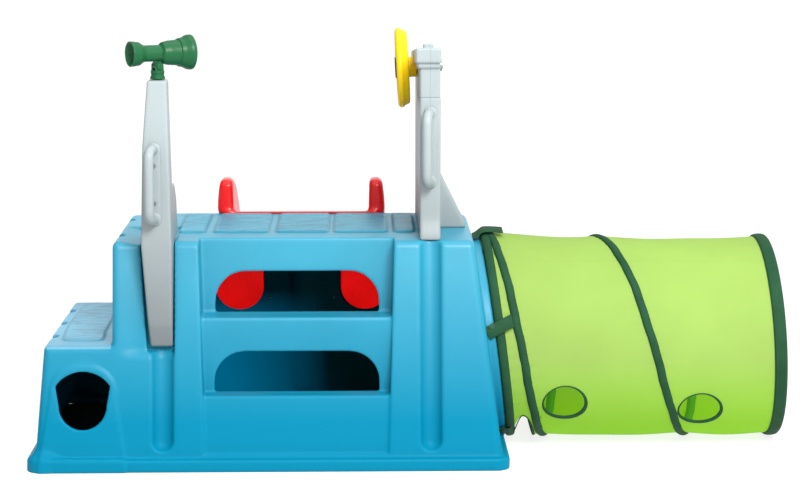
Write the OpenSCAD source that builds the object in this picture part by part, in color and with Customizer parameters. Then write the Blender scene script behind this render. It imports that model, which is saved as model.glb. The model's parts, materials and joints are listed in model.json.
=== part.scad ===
// Toddler climbing gym: a hollow moulded base with a ladder front and a side step, two towers with grips,
// a steering wheel, a telescope, a slide and a pop-up cloth tunnel.
// Millimetres, Z up. The origin is on the floor under the middle of the base.
// X runs towards the tunnel, Y towards the slide, so the ladder faces minus Y.

/* [Base] */
// Height of the deck
deck_h = 482; // [420:1:540]
// Deck edge on the step side
deck_x0 = -338; // [-360:1:-320]
// Deck edge on the tunnel side
deck_x1 = 444; // [420:1:470]
// Depth of the deck
deck_d = 448; // [420:1:480]
// Depth of the walls at the floor
foot_d = 644; // [600:1:660]
// Tunnel-side wall at the floor
foot_x1 = 506; // [490:1:512]
// Height of the side step
step_h = 262; // [230:1:290]
// Outer edge of the side step
step_x0 = -480; // [-490:1:-470]
// Step-side wall at the floor
foot_x0 = -504; // [-508:1:-496]
// Width over the floor rim
base_w = 1036; // [1028:1:1060]
// Depth over the floor rim
base_d = 670; // [666:1:690]
// Height of the floor rim
rim_h = 26; // [18:1:34]
// Wall of the base moulding
wall = 5; // [4:0.5:6]
// Rounding of the top edges
edge_r = 14; // [10:1:18]

/* [Ladder] */
// Middle of the ladder and of the slide
ladder_x = 59; // [50:1:66]
// Width of the ladder recess at the deck
ladder_top_w = 422; // [400:1:430]
// Width of the ladder recess at the floor
ladder_low_w = 394; // [384:1:410]
// Height of the upper tread as a share of the deck's height
tread_hi_share = 0.664; // [0.64:0.001:0.68]
// Height of the lower tread as a share of the deck's height
tread_lo_share = 0.3237; // [0.31:0.0001:0.34]
// Height of a tread's front edge
nose_h = 20; // [14:1:26]
// Setback of the tread fronts from the wall
nose_in = 5; // [3:0.5:7]
// Upper riser behind the deck's edge, at the deck
riser_top_in = 52; // [42:1:60]
// Upper riser behind the deck's edge, at its tread
riser_hi_in = 34; // [24:1:40]
// Lower riser in front of the deck's edge
riser_lo_out = 28; // [22:1:32]
// Width of a toe window
window_w = 356; // [320:1:366]
// Height of a toe window
window_h = 90; // [75:1:100]
// Rounding of a window's upper corners
window_r = 66; // [50:1:70]

/* [Channels and openings] */
// Middle of the left channel
channel_left = -228; // [-234:1:-222]
// Middle of the right channel
channel_right = 349; // [345:1:353]
// Radius of a channel
channel_r = 23; // [20:1:25]
// Lower end of a channel
channel_low = 40; // [34:1:60]
// Depth of the pocket that holds the lookout post
pocket_d = 18; // [14:1:22]
// Gap beside the post in its pocket
pocket_gap = 2; // [1.5:0.5:3.5]
// Middle of the round hole in the step
hole_x = -400; // [-405:1:-395]
// Width of the hole in the step
hole_w = 117; // [100:1:124]
// Lowest point of the hole in the step
hole_low = 86; // [80:1:95]
// Radius of the crawl opening
crawl_r = 200; // [185:1:204]
// Radius of the collar around the crawl opening
collar_r = 226; // [222:1:228]
// How far the collar stands out
collar_t = 12; // [8:1:14]
// Height of the deck planks
pad_h = 4; // [3:0.5:6]
// Radius of the notches in the left edges
notch_r = 15; // [14:1:24]
// Depth of the notches in the left edges
notch_h = 12; // [10:1:20]

/* [Towers] */
// Height of the lookout post over the deck
post_up = 352; // [300:1:380]
// Reach of the post's leg below the deck
post_down = 224; // [205:1:232]
// How far the post stands out in front of the deck
post_out = 51; // [46:1:56]
// How far the post's leg stands out of the wall
leg_out = 15.6; // [12:0.2:18]
// Setback of the leg's lower end behind the wall's face
leg_in = 7.5; // [6:0.5:9]
// Wall of the tower mouldings
shell = 3.5; // [3:0.5:4.5]
// Inner face of the helm panel
helm_x = 326; // [322:1:328]
// Thickness of the helm panel
helm_t = 45; // [42:1:48]
// Setback of the helm panel from the deck's edges
helm_in = 27; // [22:1:34]
// Setback of the helm panel's foot from the deck's edges
foot_in = 3; // [2:1:8]
// Height of the seam under the helm head over the deck
seam_up = 291; // [278:1:300]
// Height of the helm head
head_h = 107; // [100:1:115]
// Fall of the helm head over its half depth
head_fall = 16; // [12:1:20]
// Height of the buttress on the helm panel
brace_h = 134; // [110:1:140]
// Reach of the buttress
brace_w = 62; // [56:1:71]

/* [Grips] */
// Height of a grip
grip_h = 178; // [160:1:190]
// Radius of a grip's bar
grip_r = 10.5; // [9:0.5:12]
// How far a grip's bar stands out
grip_reach = 42; // [38:1:46]
// Bend of a grip's bar
grip_bend = 22; // [18:1:26]
// Turn of a grip's bar to the left of its plate in degrees
grip_turn = 18; // [0:1:20]
// Middle of the lookout grip over the deck
post_grip_up = 131; // [118:1:143]
// Middle of the helm grip over the deck
helm_grip_up = 200; // [188:1:202]

/* [Steering wheel] */
// Radius of the steering wheel
wheel_r = 89; // [80:1:95]
// Thickness of the wheel's rim
wheel_t = 27; // [22:1:30]
// Middle of the steering wheel
wheel_x = 292; // [290:1:294]
// Middle of the steering wheel over the seam
wheel_up = 67; // [63:1:71]
// Droop of the wheel's axle in degrees
wheel_droop = 3; // [0:0.5:4]
// Radius of the wheel's axle
axle_r = 8; // [6:0.5:9]
// Radius of the wheel's hub
hub_r = 24; // [22:0.5:27]

/* [Telescope] */
// Telescope swivel axis, left to right
scope_x = -232; // [-234:1:-230]
// Telescope swivel axis in front of the deck's edge
scope_out = 13; // [11:1:15]
// Turn of the telescope in degrees
scope_turn = 28; // [0:1:45]
// Height of the swivel collar
swivel_h = 12; // [10:1:16]
// Radius of the swivel collar
swivel_r = 16; // [14:0.5:18]
// Height of the tilt pin over the collar
pin_up = 16; // [15:0.5:18]
// Height of the barrel over the tilt pin
barrel_up = 27; // [26:0.5:29]
// Radius of the barrel
barrel_r = 17.5; // [16:0.5:18]
// Radius of the front tube
front_r = 26; // [24:0.5:27]
// Radius of the hood's mouth
hood_r = 38; // [34:1:39]
// Radius of the eyecup's mouth
eye_r = 27; // [24:1:28]
// Tilt pin radius
pin_r = 4; // [3:0.5:4.5]

/* [Slide] */
// Width of the slide
slide_w = 392; // [370:1:400]
// Thickness of a side rail
rail_t = 42; // [36:1:46]
// Height of the rails over the chute at the deck
rail_h = 79; // [70:1:85]
// Run of the chute behind the deck
slide_run = 900; // [800:10:1000]
// Height of the chute at its foot
slide_foot = 62; // [50:1:70]
// Radius of a locating lug
lug_r = 57; // [50:1:58]
// Lowest point of a locating lug below the deck
lug_down = 239; // [232:1:246]
// Height of a lug over its round end
lug_up = 98; // [80:1:104]
// Middle of a lug from the slide's middle
lug_off = 149; // [146:1:150]

/* [Tunnel] */
// Radius over the tunnel's hoops
tunnel_r = 230; // [229:0.5:232]
// Length from hem to end hoop
tunnel_l = 612; // [560:1:680]
// Width of the hem and end bands
band_w = 28; // [22:1:30]
// Width of the spiral sleeve
sleeve_w = 24; // [18:1:26]
// Sag of the cloth between the hoops
cloth_sag = 9; // [4:1:12]
// Radius of a peephole
peep_r = 46; // [38:1:48]
// Width of a strap in degrees of the hoop
strap_a = 8; // [6:0.5:10]

/* [Fits] */
// Gap between seated pieces
seat = 0.2; // [0.1:0.05:0.3]
// Gap of a pin in its bore
run = 0.08; // [0.05:0.01:0.1]
// Gap beside turning faces
side_gap = 0.4; // [0.3:0.1:0.6]
// Radius of a screw
screw_r = 2; // [1.5:0.25:2.25]
// Radius of a screw head
screw_head = 4.5; // [4:0.25:5]

/* [Hidden] */
$fn = 64;
blue = [0.17, 0.62, 0.80];
grey = [0.70, 0.76, 0.78];
red = [0.85, 0.05, 0.08];
yellow = [1.0, 0.85, 0.02];
green = [0.12, 0.40, 0.22];
lime = [0.62, 0.85, 0.33];
trim = [0.15, 0.34, 0.24];
steel = [0.6, 0.6, 0.62];
draft = atan((foot_d - deck_d) / 2 / deck_h);
tilt = atan((foot_x1 - deck_x1) / deck_h);
pads = [[-205, -147], [-127, -8], [11, 126], [139, 257], [272, 317]];
tread_hi = deck_h * tread_hi_share;
tread_lo = deck_h * tread_lo_share;
riser_top = deck_d / 2 - riser_top_in;
riser_hi = deck_d / 2 - riser_hi_in;
riser_lo = deck_d / 2 + riser_lo_out;
post_top = deck_h + post_up;
post_low = deck_h - post_down;
post_front = deck_d / 2 + post_out;
post_grip_z = deck_h + post_grip_up;
helm_grip_z = deck_h + helm_grip_up;
helm_d = deck_d / 2 - helm_in;
helm_foot = deck_d / 2 - foot_in;
helm_seam = deck_h + seam_up;
wheel_z = helm_seam + wheel_up;
scope_y = -deck_d / 2 - scope_out;
lug_low = deck_h - lug_down;
half_x = helm_x + helm_t / 2;
post_split = -236;
slide_y0 = deck_d / 2;
slide_y1 = slide_y0 + slide_run;
lug_z = lug_low + lug_r;
hem_x = foot_x1 - (foot_x1 - deck_x1) * tunnel_r / deck_h + (collar_t + band_w / 2) / cos(tilt) + 0.6;
end_x = hem_x + tunnel_l;
split_x = hem_x + 54;
end_tilt = 3.1;
ring_out = tunnel_r - 0.6;
ring_in = ring_out - 4;
sleeve_b = 2.6;
sleeve_c = tunnel_r - 0.1 - sleeve_b;
cloth_r = sleeve_c - sleeve_b - 1.5;
cloth_t = 1.6;
turn_at = [[0, -0.0336], [180, 0.189], [360, 0.388], [540, 0.72], [720, 0.98]];
turn_from = 30;
turn_to = 682;
turn_step = 11.25;
pin_z = post_top + swivel_h + pin_up;
boss_y = -post_front + 35;
post_bosses = [[boss_y, post_top - 36], [boss_y, deck_h + 30], [-deck_d / 2 + 64, deck_h + 30]];
helm_boss_y = helm_d - 32;
helm_bosses = [
  [-helm_boss_y, deck_h + 93], [helm_boss_y, deck_h + 93],
  [-helm_boss_y, helm_seam - 31], [helm_boss_y, helm_seam - 58]
];
helm_fix = [-helm_d + 77, helm_d - 77];
post_fix = [deck_h - 172, deck_h - 62];
slide_fix = [for (z = [deck_h - 207, deck_h - 77], x = [-75, 75]) [x, z]];
grip_fix = [-40, 40];

// Outline helpers

function unit(v) = v / norm(v);
function side(v) = [-v.y, v.x] / norm(v);
function prev(p, i) = p[(i + len(p) - 1) % len(p)];
function next(p, i) = p[(i + 1) % len(p)];
// moves every edge of an anticlockwise outline inwards by t
function inset(p, t) = [
  for (i = [0:len(p) - 1])
    let (m = side(p[i] - prev(p, i)), n = side(next(p, i) - p[i]))
      p[i] + (m + n) * t / (1 + m * n)
];
function round_corner(a, b, c, r, n) = r <= 0 ? [b] :
  let (
    u = unit(a - b), v = unit(c - b), half = acos(u * v) / 2,
    m = b + unit(u + v) * r / sin(half),
    p = b + u * r / tan(half) - m, q = b + v * r / tan(half) - m,
    s = atan2(p.y, p.x), d = atan2(q.y, q.x) - s,
    turn = d > 180 ? d - 360 : d < -180 ? d + 360 : d
  ) [for (k = [0:n]) m + r * [cos(s + turn * k / n), sin(s + turn * k / n)]];
function soften(p, r, n = 5) = [
  for (i = [0:len(p) - 1]) each round_corner(prev(p, i), p[i], next(p, i), r[i], n)
];
module along_x(x0, x1) translate([x0, 0, 0]) rotate([90, 0, 90]) linear_extrude(x1 - x0) children();
module along_y(y0, y1) translate([0, y1, 0]) rotate([90, 0, 0]) linear_extrude(y1 - y0) children();

// Base

function wall_y(z) = deck_d / 2 + (foot_d - deck_d) / 2 * (deck_h - z) / deck_h;
function right_x(z) = deck_x1 + (foot_x1 - deck_x1) * (deck_h - z) / deck_h;
function left_x(z) = step_x0 - (step_x0 - foot_x0) * (step_h - z) / step_h;
function depth_line(low) = [
  [-wall_y(low), low], [wall_y(low), low], [deck_d / 2, deck_h], [-deck_d / 2, deck_h]
];
function width_line(low) = [
  [left_x(low), low], [right_x(low), low], [deck_x1, deck_h], [deck_x0, deck_h],
  [deck_x0, step_h], [step_x0, step_h]
];
module base_block(t, low) {
  r = max(edge_r - max(t, 0), 2);
  intersection() {
    along_x(-base_w, base_w) polygon(soften(inset(depth_line(low), t), [0, 0, r, r]));
    along_y(-base_d, base_d) polygon(soften(inset(width_line(low), t), [0, 0, r, r, 8, r]));
  }
}
module ladder_cut(g) intersection() {
  union() {
    along_x(-300, 400) polygon([
      [-riser_top + g, deck_h + 30], [-500, deck_h + 30], [-500, tread_hi - g], [-riser_hi + g, tread_hi - g]
    ]);
    along_x(-300, 400) polygon([
      [-riser_lo + g, tread_hi - nose_h + g], [-500, tread_hi - nose_h + g],
      [-500, tread_lo - g], [-riser_lo - 2 + g, tread_lo - g]
    ]);
    along_x(-300, 400) polygon([
      [-wall_y(deck_h + 30) + nose_in + g, deck_h + 30], [-500, deck_h + 30],
      [-500, rim_h + 8 - g], [-wall_y(rim_h + 8) + nose_in + g, rim_h + 8 - g]
    ]);
  }
  along_y(-600, 0) polygon([
    [ladder_x - ladder_low_w / 2 - g, 0], [ladder_x + ladder_low_w / 2 + g, 0],
    [ladder_x + ladder_top_w / 2 + g, deck_h + 20], [ladder_x - ladder_top_w / 2 - g, deck_h + 20]
  ]);
}
module channel(x, g) translate([x, -wall_y(channel_low + channel_r) - 4, channel_low + channel_r])
  rotate([-draft, 0, 0]) {
    cylinder(r = channel_r + g, h = deck_h);
    sphere(r = channel_r + g);
  }
module channel_cuts(g) {
  channel(channel_left, g);
  channel(channel_right, g);
  mirror([0, 1, 0]) channel(ladder_x, g);
}
module pocket_cut(g) intersection() {
  along_x(-400, 0) polygon([
    [-wall_y(post_low - 6) + pocket_d + g, post_low - 6 - g], [-deck_d / 2 + pocket_d + g, deck_h + 0.01],
    [-deck_d / 2 + pocket_d + g, deck_h + 20], [-500, deck_h + 20], [-500, post_low - 6 - g]
  ]);
  along_y(-600, 0) polygon(inset(post_face(), -pocket_gap - g));
}
module edge_notches(g) {
  for (y = [-118, 112]) translate([deck_x0 - 3, y, deck_h - notch_h - g]) cylinder(r = notch_r + g, h = 60);
  for (y = [-150, 0, 150]) translate([step_x0 - 3, y, step_h - notch_h - g]) cylinder(r = notch_r + g, h = 60);
}
module hollow_cuts(g) {
  ladder_cut(g);
  channel_cuts(g);
  pocket_cut(g);
  edge_notches(g);
}
module rounded_plate(x0, x1, y0, y1, r, h) linear_extrude(h)
  polygon(soften([[x0, y0], [x1, y0], [x1, y1], [x0, y1]], [r, r, r, r]));
module window(z) along_y(-foot_d / 2 - 18, -riser_top + 52)
  translate([ladder_x, z]) polygon(soften(
    [[-window_w / 2, 2], [window_w / 2, 2], [window_w / 2, window_h], [-window_w / 2, window_h]],
    [4, 4, window_r, window_r], 9));
// bucket outline: a round bottom, sides that spread upwards and a flat arc on top
module step_hole() along_y(-foot_d, -deck_d / 2 + 24) translate([hole_x, hole_low]) {
  low_r = hole_w * 0.44;
  side_z = hole_w * 0.79;
  rise = hole_w * 0.26;
  top_r = (hole_w * hole_w / 4 + rise * rise) / 2 / rise;
  half = asin(hole_w / 2 / top_r);
  polygon(concat(
    [for (t = [180:10:360]) [low_r * cos(t), low_r + low_r * sin(t)]],
    [for (t = [90 - half:half / 8:90 + half + 0.01]) [top_r * cos(t), side_z + rise - top_r + top_r * sin(t)]]
  ));
}
module step_arch() intersection() {
  base_block(-2.5, 0);
  along_y(-500, -100) translate([hole_x, 0])
    polygon(soften([[-96, 10], [96, 10], [72, hole_low + 137], [-72, hole_low + 137]], [0, 0, 58, 58], 9));
}
module crawl_collar() intersection() {
  translate([0, 0, tunnel_r]) rotate([0, 90, 0]) cylinder(r = collar_r, h = 700);
  along_y(-400, 400) polygon([
    [right_x(0) - 2, 0], [right_x(0) + collar_t / cos(tilt), 0],
    [right_x(470) + collar_t / cos(tilt), 470], [right_x(470) - 2, 470]
  ]);
}
module lug_shape(g) for (s = [-1, 1]) translate([ladder_x + s * lug_off, lug_z]) {
  circle(r = lug_r + g);
  translate([-lug_r - g, 0]) square([2 * (lug_r + g), lug_up + g]);
}
// fastening lines square to the sloping walls, counted inwards at the front and outwards at the back
module square_to_front(x, z, off) translate([x, -wall_y(z), z]) rotate([-90 - draft, 0, 0])
  translate([0, 0, off]) children();
module square_to_back(x, z, off) translate([x, wall_y(z), z]) rotate([draft - 90, 0, 0])
  translate([0, 0, off]) children();
module base_shell() color(blue) difference() {
  union() {
    difference() {
      base_block(0, 0);
      hollow_cuts(0);
    }
    rounded_plate(-base_w / 2, base_w / 2, -base_d / 2, base_d / 2, 32, rim_h);
    step_arch();
    crawl_collar();
    for (p = pads) translate([0, 0, deck_h - 1]) rounded_plate(p[0], p[1], -95, 188, 10, pad_h + 1);
    translate([0, 0, step_h - 1]) rounded_plate(step_x0 + 30, deck_x0 - 26, -205, 205, 14, pad_h + 1);
  }
  difference() {
    base_block(wall, -20);
    hollow_cuts(wall);
  }
  translate([0, 0, -1]) rounded_plate(
    -base_w / 2 + wall, base_w / 2 - wall, -base_d / 2 + wall, base_d / 2 - wall, 27, rim_h - wall + 1);
  window(tread_hi);
  window(tread_lo);
  step_hole();
  translate([400, 0, tunnel_r]) rotate([0, 90, 0]) cylinder(r = crawl_r, h = 300);
  along_y(deck_d / 2 - 74, foot_d / 2 + 78) lug_shape(1.5);
  hoop_at(hem_x, tilt) translate([0, 0, -band_w / 2 - 0.3]) cylinder(r = ring_out + 1, h = band_w + 40);
  for (y = helm_fix, x = [-12, 12]) translate([half_x + x, y, deck_h - 20]) cylinder(r = screw_r + seat, h = 40);
  for (z = post_fix) square_to_front(post_split + 8, z, pocket_d - 5) cylinder(r = screw_r + seat, h = 20);
  for (p = slide_fix) square_to_back(ladder_x + p[0], p[1], -20) cylinder(r = screw_r + seat, h = 40);
}

// Lookout post

function post_face() = [
  [post_split - 19, post_low], [post_split + 29, post_low], [post_split + 31, deck_h], [post_split + 24.5, post_top],
  [post_split - 17, post_top], [post_split - 29, deck_h + post_up * 0.6], [post_split - 35, deck_h]
];
function post_profile() = [
  [-wall_y(post_low) + leg_in, post_low], [-wall_y(post_low) + pocket_d - 2 * seat, post_low],
  [-deck_d / 2 + pocket_d - 2 * seat, deck_h + seat], [-deck_d / 2 + 119, deck_h + seat],
  [-deck_d / 2 + 112, deck_h + 80], [-deck_d / 2 + 74, deck_h + 120], [-deck_d / 2 + 18, deck_h + 122],
  [scope_y + 25, post_top], [-post_front + 13, post_top],
  [-post_front, deck_h], [-wall_y(post_low + 50) - leg_out, post_low + 50]
];
module post_solid(t) intersection() {
  along_x(-400, 0) polygon(soften(inset(post_profile(), t),
    t > 0 ? [4, 0, 0, 4, 26, 20, 4, 4, 4, 0, 30] : [8, 0, 0, 8, 30, 24, 10, 6, 6, 0, 34]));
  along_y(-500, 0) polygon(inset(post_face(), t));
}
function post_lean() = atan(13 / (post_top - deck_h));
function post_face_y(z) = -post_front + 13 * (z - deck_h) / (post_top - deck_h);
module at_post_grip() translate([post_split - 4, post_face_y(post_grip_z) - seat, post_grip_z])
  rotate([-post_lean(), 0, 0]) children();
module post_half(x0, x1) difference() {
  intersection() {
    union() {
      difference() {
        post_solid(0);
        post_solid(shell);
      }
      intersection() {
        post_solid(1);
        for (p = post_bosses) translate([-300, p[0], p[1]]) rotate([0, 90, 0]) cylinder(r = 7, h = 120);
      }
    }
    translate([x0, -deck_d, post_low - 20]) cube([x1 - x0, deck_d, post_top - post_low + 40]);
  }
  for (p = post_bosses) translate([post_split - 14, p[0], p[1]]) rotate([0, 90, 0])
    cylinder(r = screw_r + seat, h = 30);
  for (p = post_bosses) translate([post_split - 60, p[0], p[1]]) rotate([0, 90, 0])
    cylinder(r = screw_head + seat, h = 50);
  translate([scope_x, scope_y, post_top - 14]) cylinder(r = 9 + seat, h = 20);
  for (z = grip_fix) at_post_grip() translate([0, -2, z]) rotate([-90, 0, 0]) cylinder(r = screw_r + seat, h = 12);
  for (z = post_fix) square_to_front(post_split + 8, z, pocket_d - 12) cylinder(r = screw_r + seat, h = 30);
}
module post_outer() color(grey) post_half(-400, post_split);
module post_inner() color(grey) post_half(post_split, 0);
module post_seam_screws() color(steel) for (p = post_bosses)
  translate([post_split - 10, p[0], p[1]]) rotate([0, 90, 0]) {
    translate([0, 0, -3]) cylinder(r = screw_head, h = 3);
    cylinder(r = screw_r, h = 22);
  }
module post_screws() color(steel) for (z = post_fix)
  square_to_front(post_split + 8, z, 0) {
    translate([0, 0, channel_r + wall - 4 * cos(draft) + seat]) cylinder(r = screw_head, h = 3);
    translate([0, 0, pocket_d - 9]) cylinder(r = screw_r, h = 11 + wall + seat);
  }

// Grips

module grip_bar() {
  translate([0, -grip_reach, -grip_h / 2 + 14 + grip_bend]) cylinder(r = grip_r, h = grip_h - 28 - 2 * grip_bend);
  for (s = [-1, 1]) {
    translate([0, -grip_reach + grip_bend, s * (grip_h / 2 - 14 - grip_bend)]) rotate([0, s > 0 ? 0 : 180, 0])
      rotate([90, 0, -90]) rotate_extrude(angle = 90) translate([grip_bend, 0]) circle(r = grip_r);
    translate([0, 6, s * (grip_h / 2 - 14)]) rotate([90, 0, 0])
      cylinder(r = grip_r, h = grip_reach - grip_bend + 6);
  }
}
module grip() difference() {
  union() {
    rotate([90, 0, 0]) linear_extrude(4) {
      for (s = [-1, 1]) translate([0, s * (grip_h / 2 - 14)]) circle(r = 14);
      translate([-14, -grip_h / 2 + 14]) square([28, grip_h - 28]);
    }
    rotate([0, 0, -grip_turn]) grip_bar();
  }
  translate([-30, 0, -grip_h]) cube([60, 30, 2 * grip_h]);
  for (z = grip_fix) translate([0, -6, z]) rotate([-90, 0, 0]) cylinder(r = screw_r + seat, h = 12);
}
module grip_screws() for (z = grip_fix) translate([0, 0, z]) rotate([-90, 0, 0]) {
  translate([0, 0, -4 - seat - 2.5]) cylinder(r = screw_head, h = 2.5);
  translate([0, 0, -4 - seat - 0.5]) cylinder(r = screw_r, h = 12);
}
module post_grip() color(grey) at_post_grip() grip();
module post_grip_screws() color(steel) at_post_grip() grip_screws();
module at_helm_grip() translate([half_x, -helm_d - seat, helm_grip_z]) children();
module helm_grip() color(grey) at_helm_grip() grip();
module helm_grip_screws() color(steel) at_helm_grip() grip_screws();

// Helm panel and head

function seam_z(y) = helm_seam - head_fall * y / helm_d;
function helm_profile() = [
  [-helm_foot, deck_h + seat], [helm_foot, deck_h + seat], [helm_d, deck_h + 63], [helm_d, seam_z(helm_d)],
  [-helm_d, seam_z(-helm_d)], [-helm_d, deck_h + 63]
];
function brace_face() = [
  [helm_x + helm_t - 1, deck_h + seat], [helm_x + helm_t + brace_w, deck_h + seat],
  [helm_x + helm_t + brace_w, deck_h + 9], [helm_x + helm_t - 1, deck_h + brace_h]
];
module helm_solid(t) {
  along_x(helm_x + t, helm_x + helm_t - t)
    polygon(soften(inset(helm_profile(), t), t > 0 ? [2, 2, 16, 2, 2, 16] : [4, 4, 20, 4, 4, 20]));
  if (t > 0) along_y(-28 + t, 28 - t) polygon([
    [helm_x + helm_t - 8, deck_h + seat + t], [helm_x + helm_t + brace_w - 2.5 * t, deck_h + seat + t],
    [helm_x + helm_t - 8, deck_h + brace_h - t]
  ]);
  else along_y(-28, 28) polygon(brace_face());
}
module head_tongues() for (y = [-helm_d + 47, helm_d - 47]) translate([0, y, seam_z(y) - 6])
  translate([helm_x + shell + 1, -20, 0]) cube([helm_t - 2 * shell - 4, 40, 18]);
module helm_half(x0, x1) difference() {
  intersection() {
    union() {
      difference() {
        helm_solid(0);
        helm_solid(shell);
      }
      for (p = helm_bosses) translate([helm_x + 1, p[0], p[1]]) rotate([0, 90, 0]) cylinder(r = 7, h = helm_t - 2);
      head_tongues();
    }
    translate([x0, -deck_d, deck_h - 20]) cube([x1 - x0, 2 * deck_d, seam_up + 80]);
  }
  for (p = helm_bosses) translate([half_x - 14, p[0], p[1]]) rotate([0, 90, 0]) cylinder(r = screw_r + seat, h = 30);
  for (p = helm_bosses) translate([half_x + 10, p[0], p[1]]) rotate([0, 90, 0])
    cylinder(r = screw_head + seat, h = 50);
  for (y = helm_fix, x = [-12, 12]) translate([half_x + x, y, deck_h - 1]) cylinder(r = screw_r + seat, h = 18);
  for (z = grip_fix) at_helm_grip() translate([0, -2, z]) rotate([-90, 0, 0]) cylinder(r = screw_r + seat, h = 12);
}
module helm_inner() color(grey) helm_half(0, half_x);
module helm_outer() color(grey) helm_half(half_x, 600);
module helm_seam_screws() color(steel) for (p = helm_bosses)
  translate([half_x + 10, p[0], p[1]]) rotate([0, -90, 0]) {
    translate([0, 0, -3]) cylinder(r = screw_head, h = 3);
    cylinder(r = screw_r, h = 22);
  }
module helm_screws() color(steel) for (y = helm_fix, x = [-12, 12])
  translate([half_x + x, y, deck_h - wall - seat]) {
    translate([0, 0, -3]) cylinder(r = screw_head, h = 3);
    cylinder(r = screw_r, h = wall + 12);
  }
// frame of the steering wheel: its own Z runs along the axle towards the player
module at_wheel() translate([wheel_x, 0, wheel_z]) rotate([0, -90 - wheel_droop, 0]) children();
function head_line(d, z0, z1) = [
  [-d, seam_z(-d) + z0], [d, seam_z(d) + z0], [d, seam_z(d) + z1], [-d, seam_z(-d) + z1]
];
module helm_head() color(grey) difference() {
  union() {
    difference() {
      union() {
        along_x(helm_x, helm_x + helm_t - 2) polygon(soften(head_line(helm_d + 2, seat, head_h - 8), [0, 0, 4, 4]));
        along_x(helm_x - 5, helm_x + helm_t - 1)
          polygon(soften(head_line(helm_d + 8, head_h - 44, head_h - 20), [6, 6, 2, 2]));
        along_x(helm_x - 9, helm_x + helm_t)
          polygon(soften(head_line(helm_d + 15, head_h - 32, head_h), [4, 4, 4, 4]));
        translate([helm_x + 8, -helm_d + 36, seam_z(-helm_d + 47) + head_h - 4]) cube([22, 22, 13]);
      }
      along_x(helm_x + shell, helm_x + helm_t - 2 - shell)
        polygon(inset(head_line(helm_d + 2, -20, head_h), shell));
      at_wheel() translate([0, 0, -32]) cylinder(r = hub_r + 1, h = 60);
    }
    intersection() {
      at_wheel() translate([0, 0, -84]) cylinder(r = 14, h = 70);
      along_x(helm_x + 1, helm_x + helm_t - 3) translate([-20, wheel_z - 40]) square([40, 80]);
    }
    at_wheel() translate([0, 0, -40]) cylinder(r = 19, h = 8);
    at_wheel() translate([0, 0, -80]) cylinder(r = 17, h = 8);
  }
  at_wheel() translate([0, 0, -100]) cylinder(r = axle_r + seat, h = 120);
}

// Steering wheel

module wheel_axle() color(steel) at_wheel() {
  translate([0, 0, -90]) cylinder(r = axle_r, h = 94 + side_gap);
  translate([0, 0, 4 + side_gap]) cylinder(r = 12, h = 4);
}
module axle_nut() color(steel) at_wheel() translate([0, 0, -80 - seat - 8]) difference() {
  cylinder(r = 13, h = 8);
  translate([0, 0, -1]) cylinder(r = axle_r + seat, h = 12);
}
module steering_wheel() color(yellow) at_wheel() difference() {
  union() {
    rotate_extrude() polygon(soften([
      [wheel_r - 24, -wheel_t / 2], [wheel_r - 9, -wheel_t / 2], [wheel_r - 4, -2],
      [wheel_r, 2], [wheel_r, wheel_t / 2 - 4], [wheel_r - 6, wheel_t / 2], [wheel_r - 22, wheel_t / 2]
    ], [6, 5, 2, 2, 3, 3, 6], 4));
    translate([0, 0, -32 + side_gap]) cylinder(r = hub_r - 1.5, h = 30);
    translate([0, 0, -9]) cylinder(r = hub_r, h = 23);
    for (k = [0:2]) rotate([0, 0, 60 + 120 * k]) translate([hub_r - 6, -11, -7]) cube([wheel_r - hub_r - 10, 22, 13]);
  }
  translate([0, 0, -60]) cylinder(r = axle_r + run, h = 100);
  translate([0, 0, 4]) cylinder(r = 15, h = 20);
}
module wheel_cap() color(grey) at_wheel() {
  translate([0, 0, 10]) cylinder(r = 15 - seat, h = 4 + seat);
  translate([0, 0, 14 + seat]) cylinder(r = hub_r - 0.5, h = 2);
}

// Telescope

module at_scope() translate([scope_x, scope_y, pin_z]) rotate([0, 0, scope_turn]) children();
module turned() rotate([0, 90, 0]) rotate_extrude() children();
module scope_collar() color(green) translate([scope_x, scope_y, post_top + seat]) {
  rotate_extrude() polygon(soften([[0, 0], [swivel_r, 0], [swivel_r, 4], [swivel_r - 2, 6.5],
    [swivel_r - 2, swivel_h - seat], [0, swivel_h - seat]], [0, 1, 1, 1, 1, 0], 3));
  translate([0, 0, -10]) cylinder(r = 9, h = 10);
  cylinder(r = 5, h = swivel_h + 5);
}
module scope_yoke() color(green) at_scope() difference() {
  union() {
    translate([0, 0, -pin_up + side_gap]) cylinder(r = swivel_r - 1.5, h = 7 - side_gap);
    for (s = [-1, 1]) translate([0, s * 10, 0]) rotate([90, 0, 0]) translate([0, 0, -2.5]) {
      cylinder(r = 9, h = 5);
      translate([-9, -pin_up + 4, 0]) cube([18, pin_up - 4, 5]);
    }
  }
  translate([0, 0, -pin_up - 1]) cylinder(r = 5 + run, h = 6.5);
  rotate([90, 0, 0]) cylinder(r = pin_r + seat, h = 60, center = true);
}
module scope_pin() color(green) at_scope() rotate([90, 0, 0]) {
  translate([0, 0, -12.5 - seat]) cylinder(r = pin_r, h = 25 + 2 * seat);
  for (s = [-1, 1]) translate([0, 0, s * (14 + seat) - 1.5]) cylinder(r = 7, h = 3);
}
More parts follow.
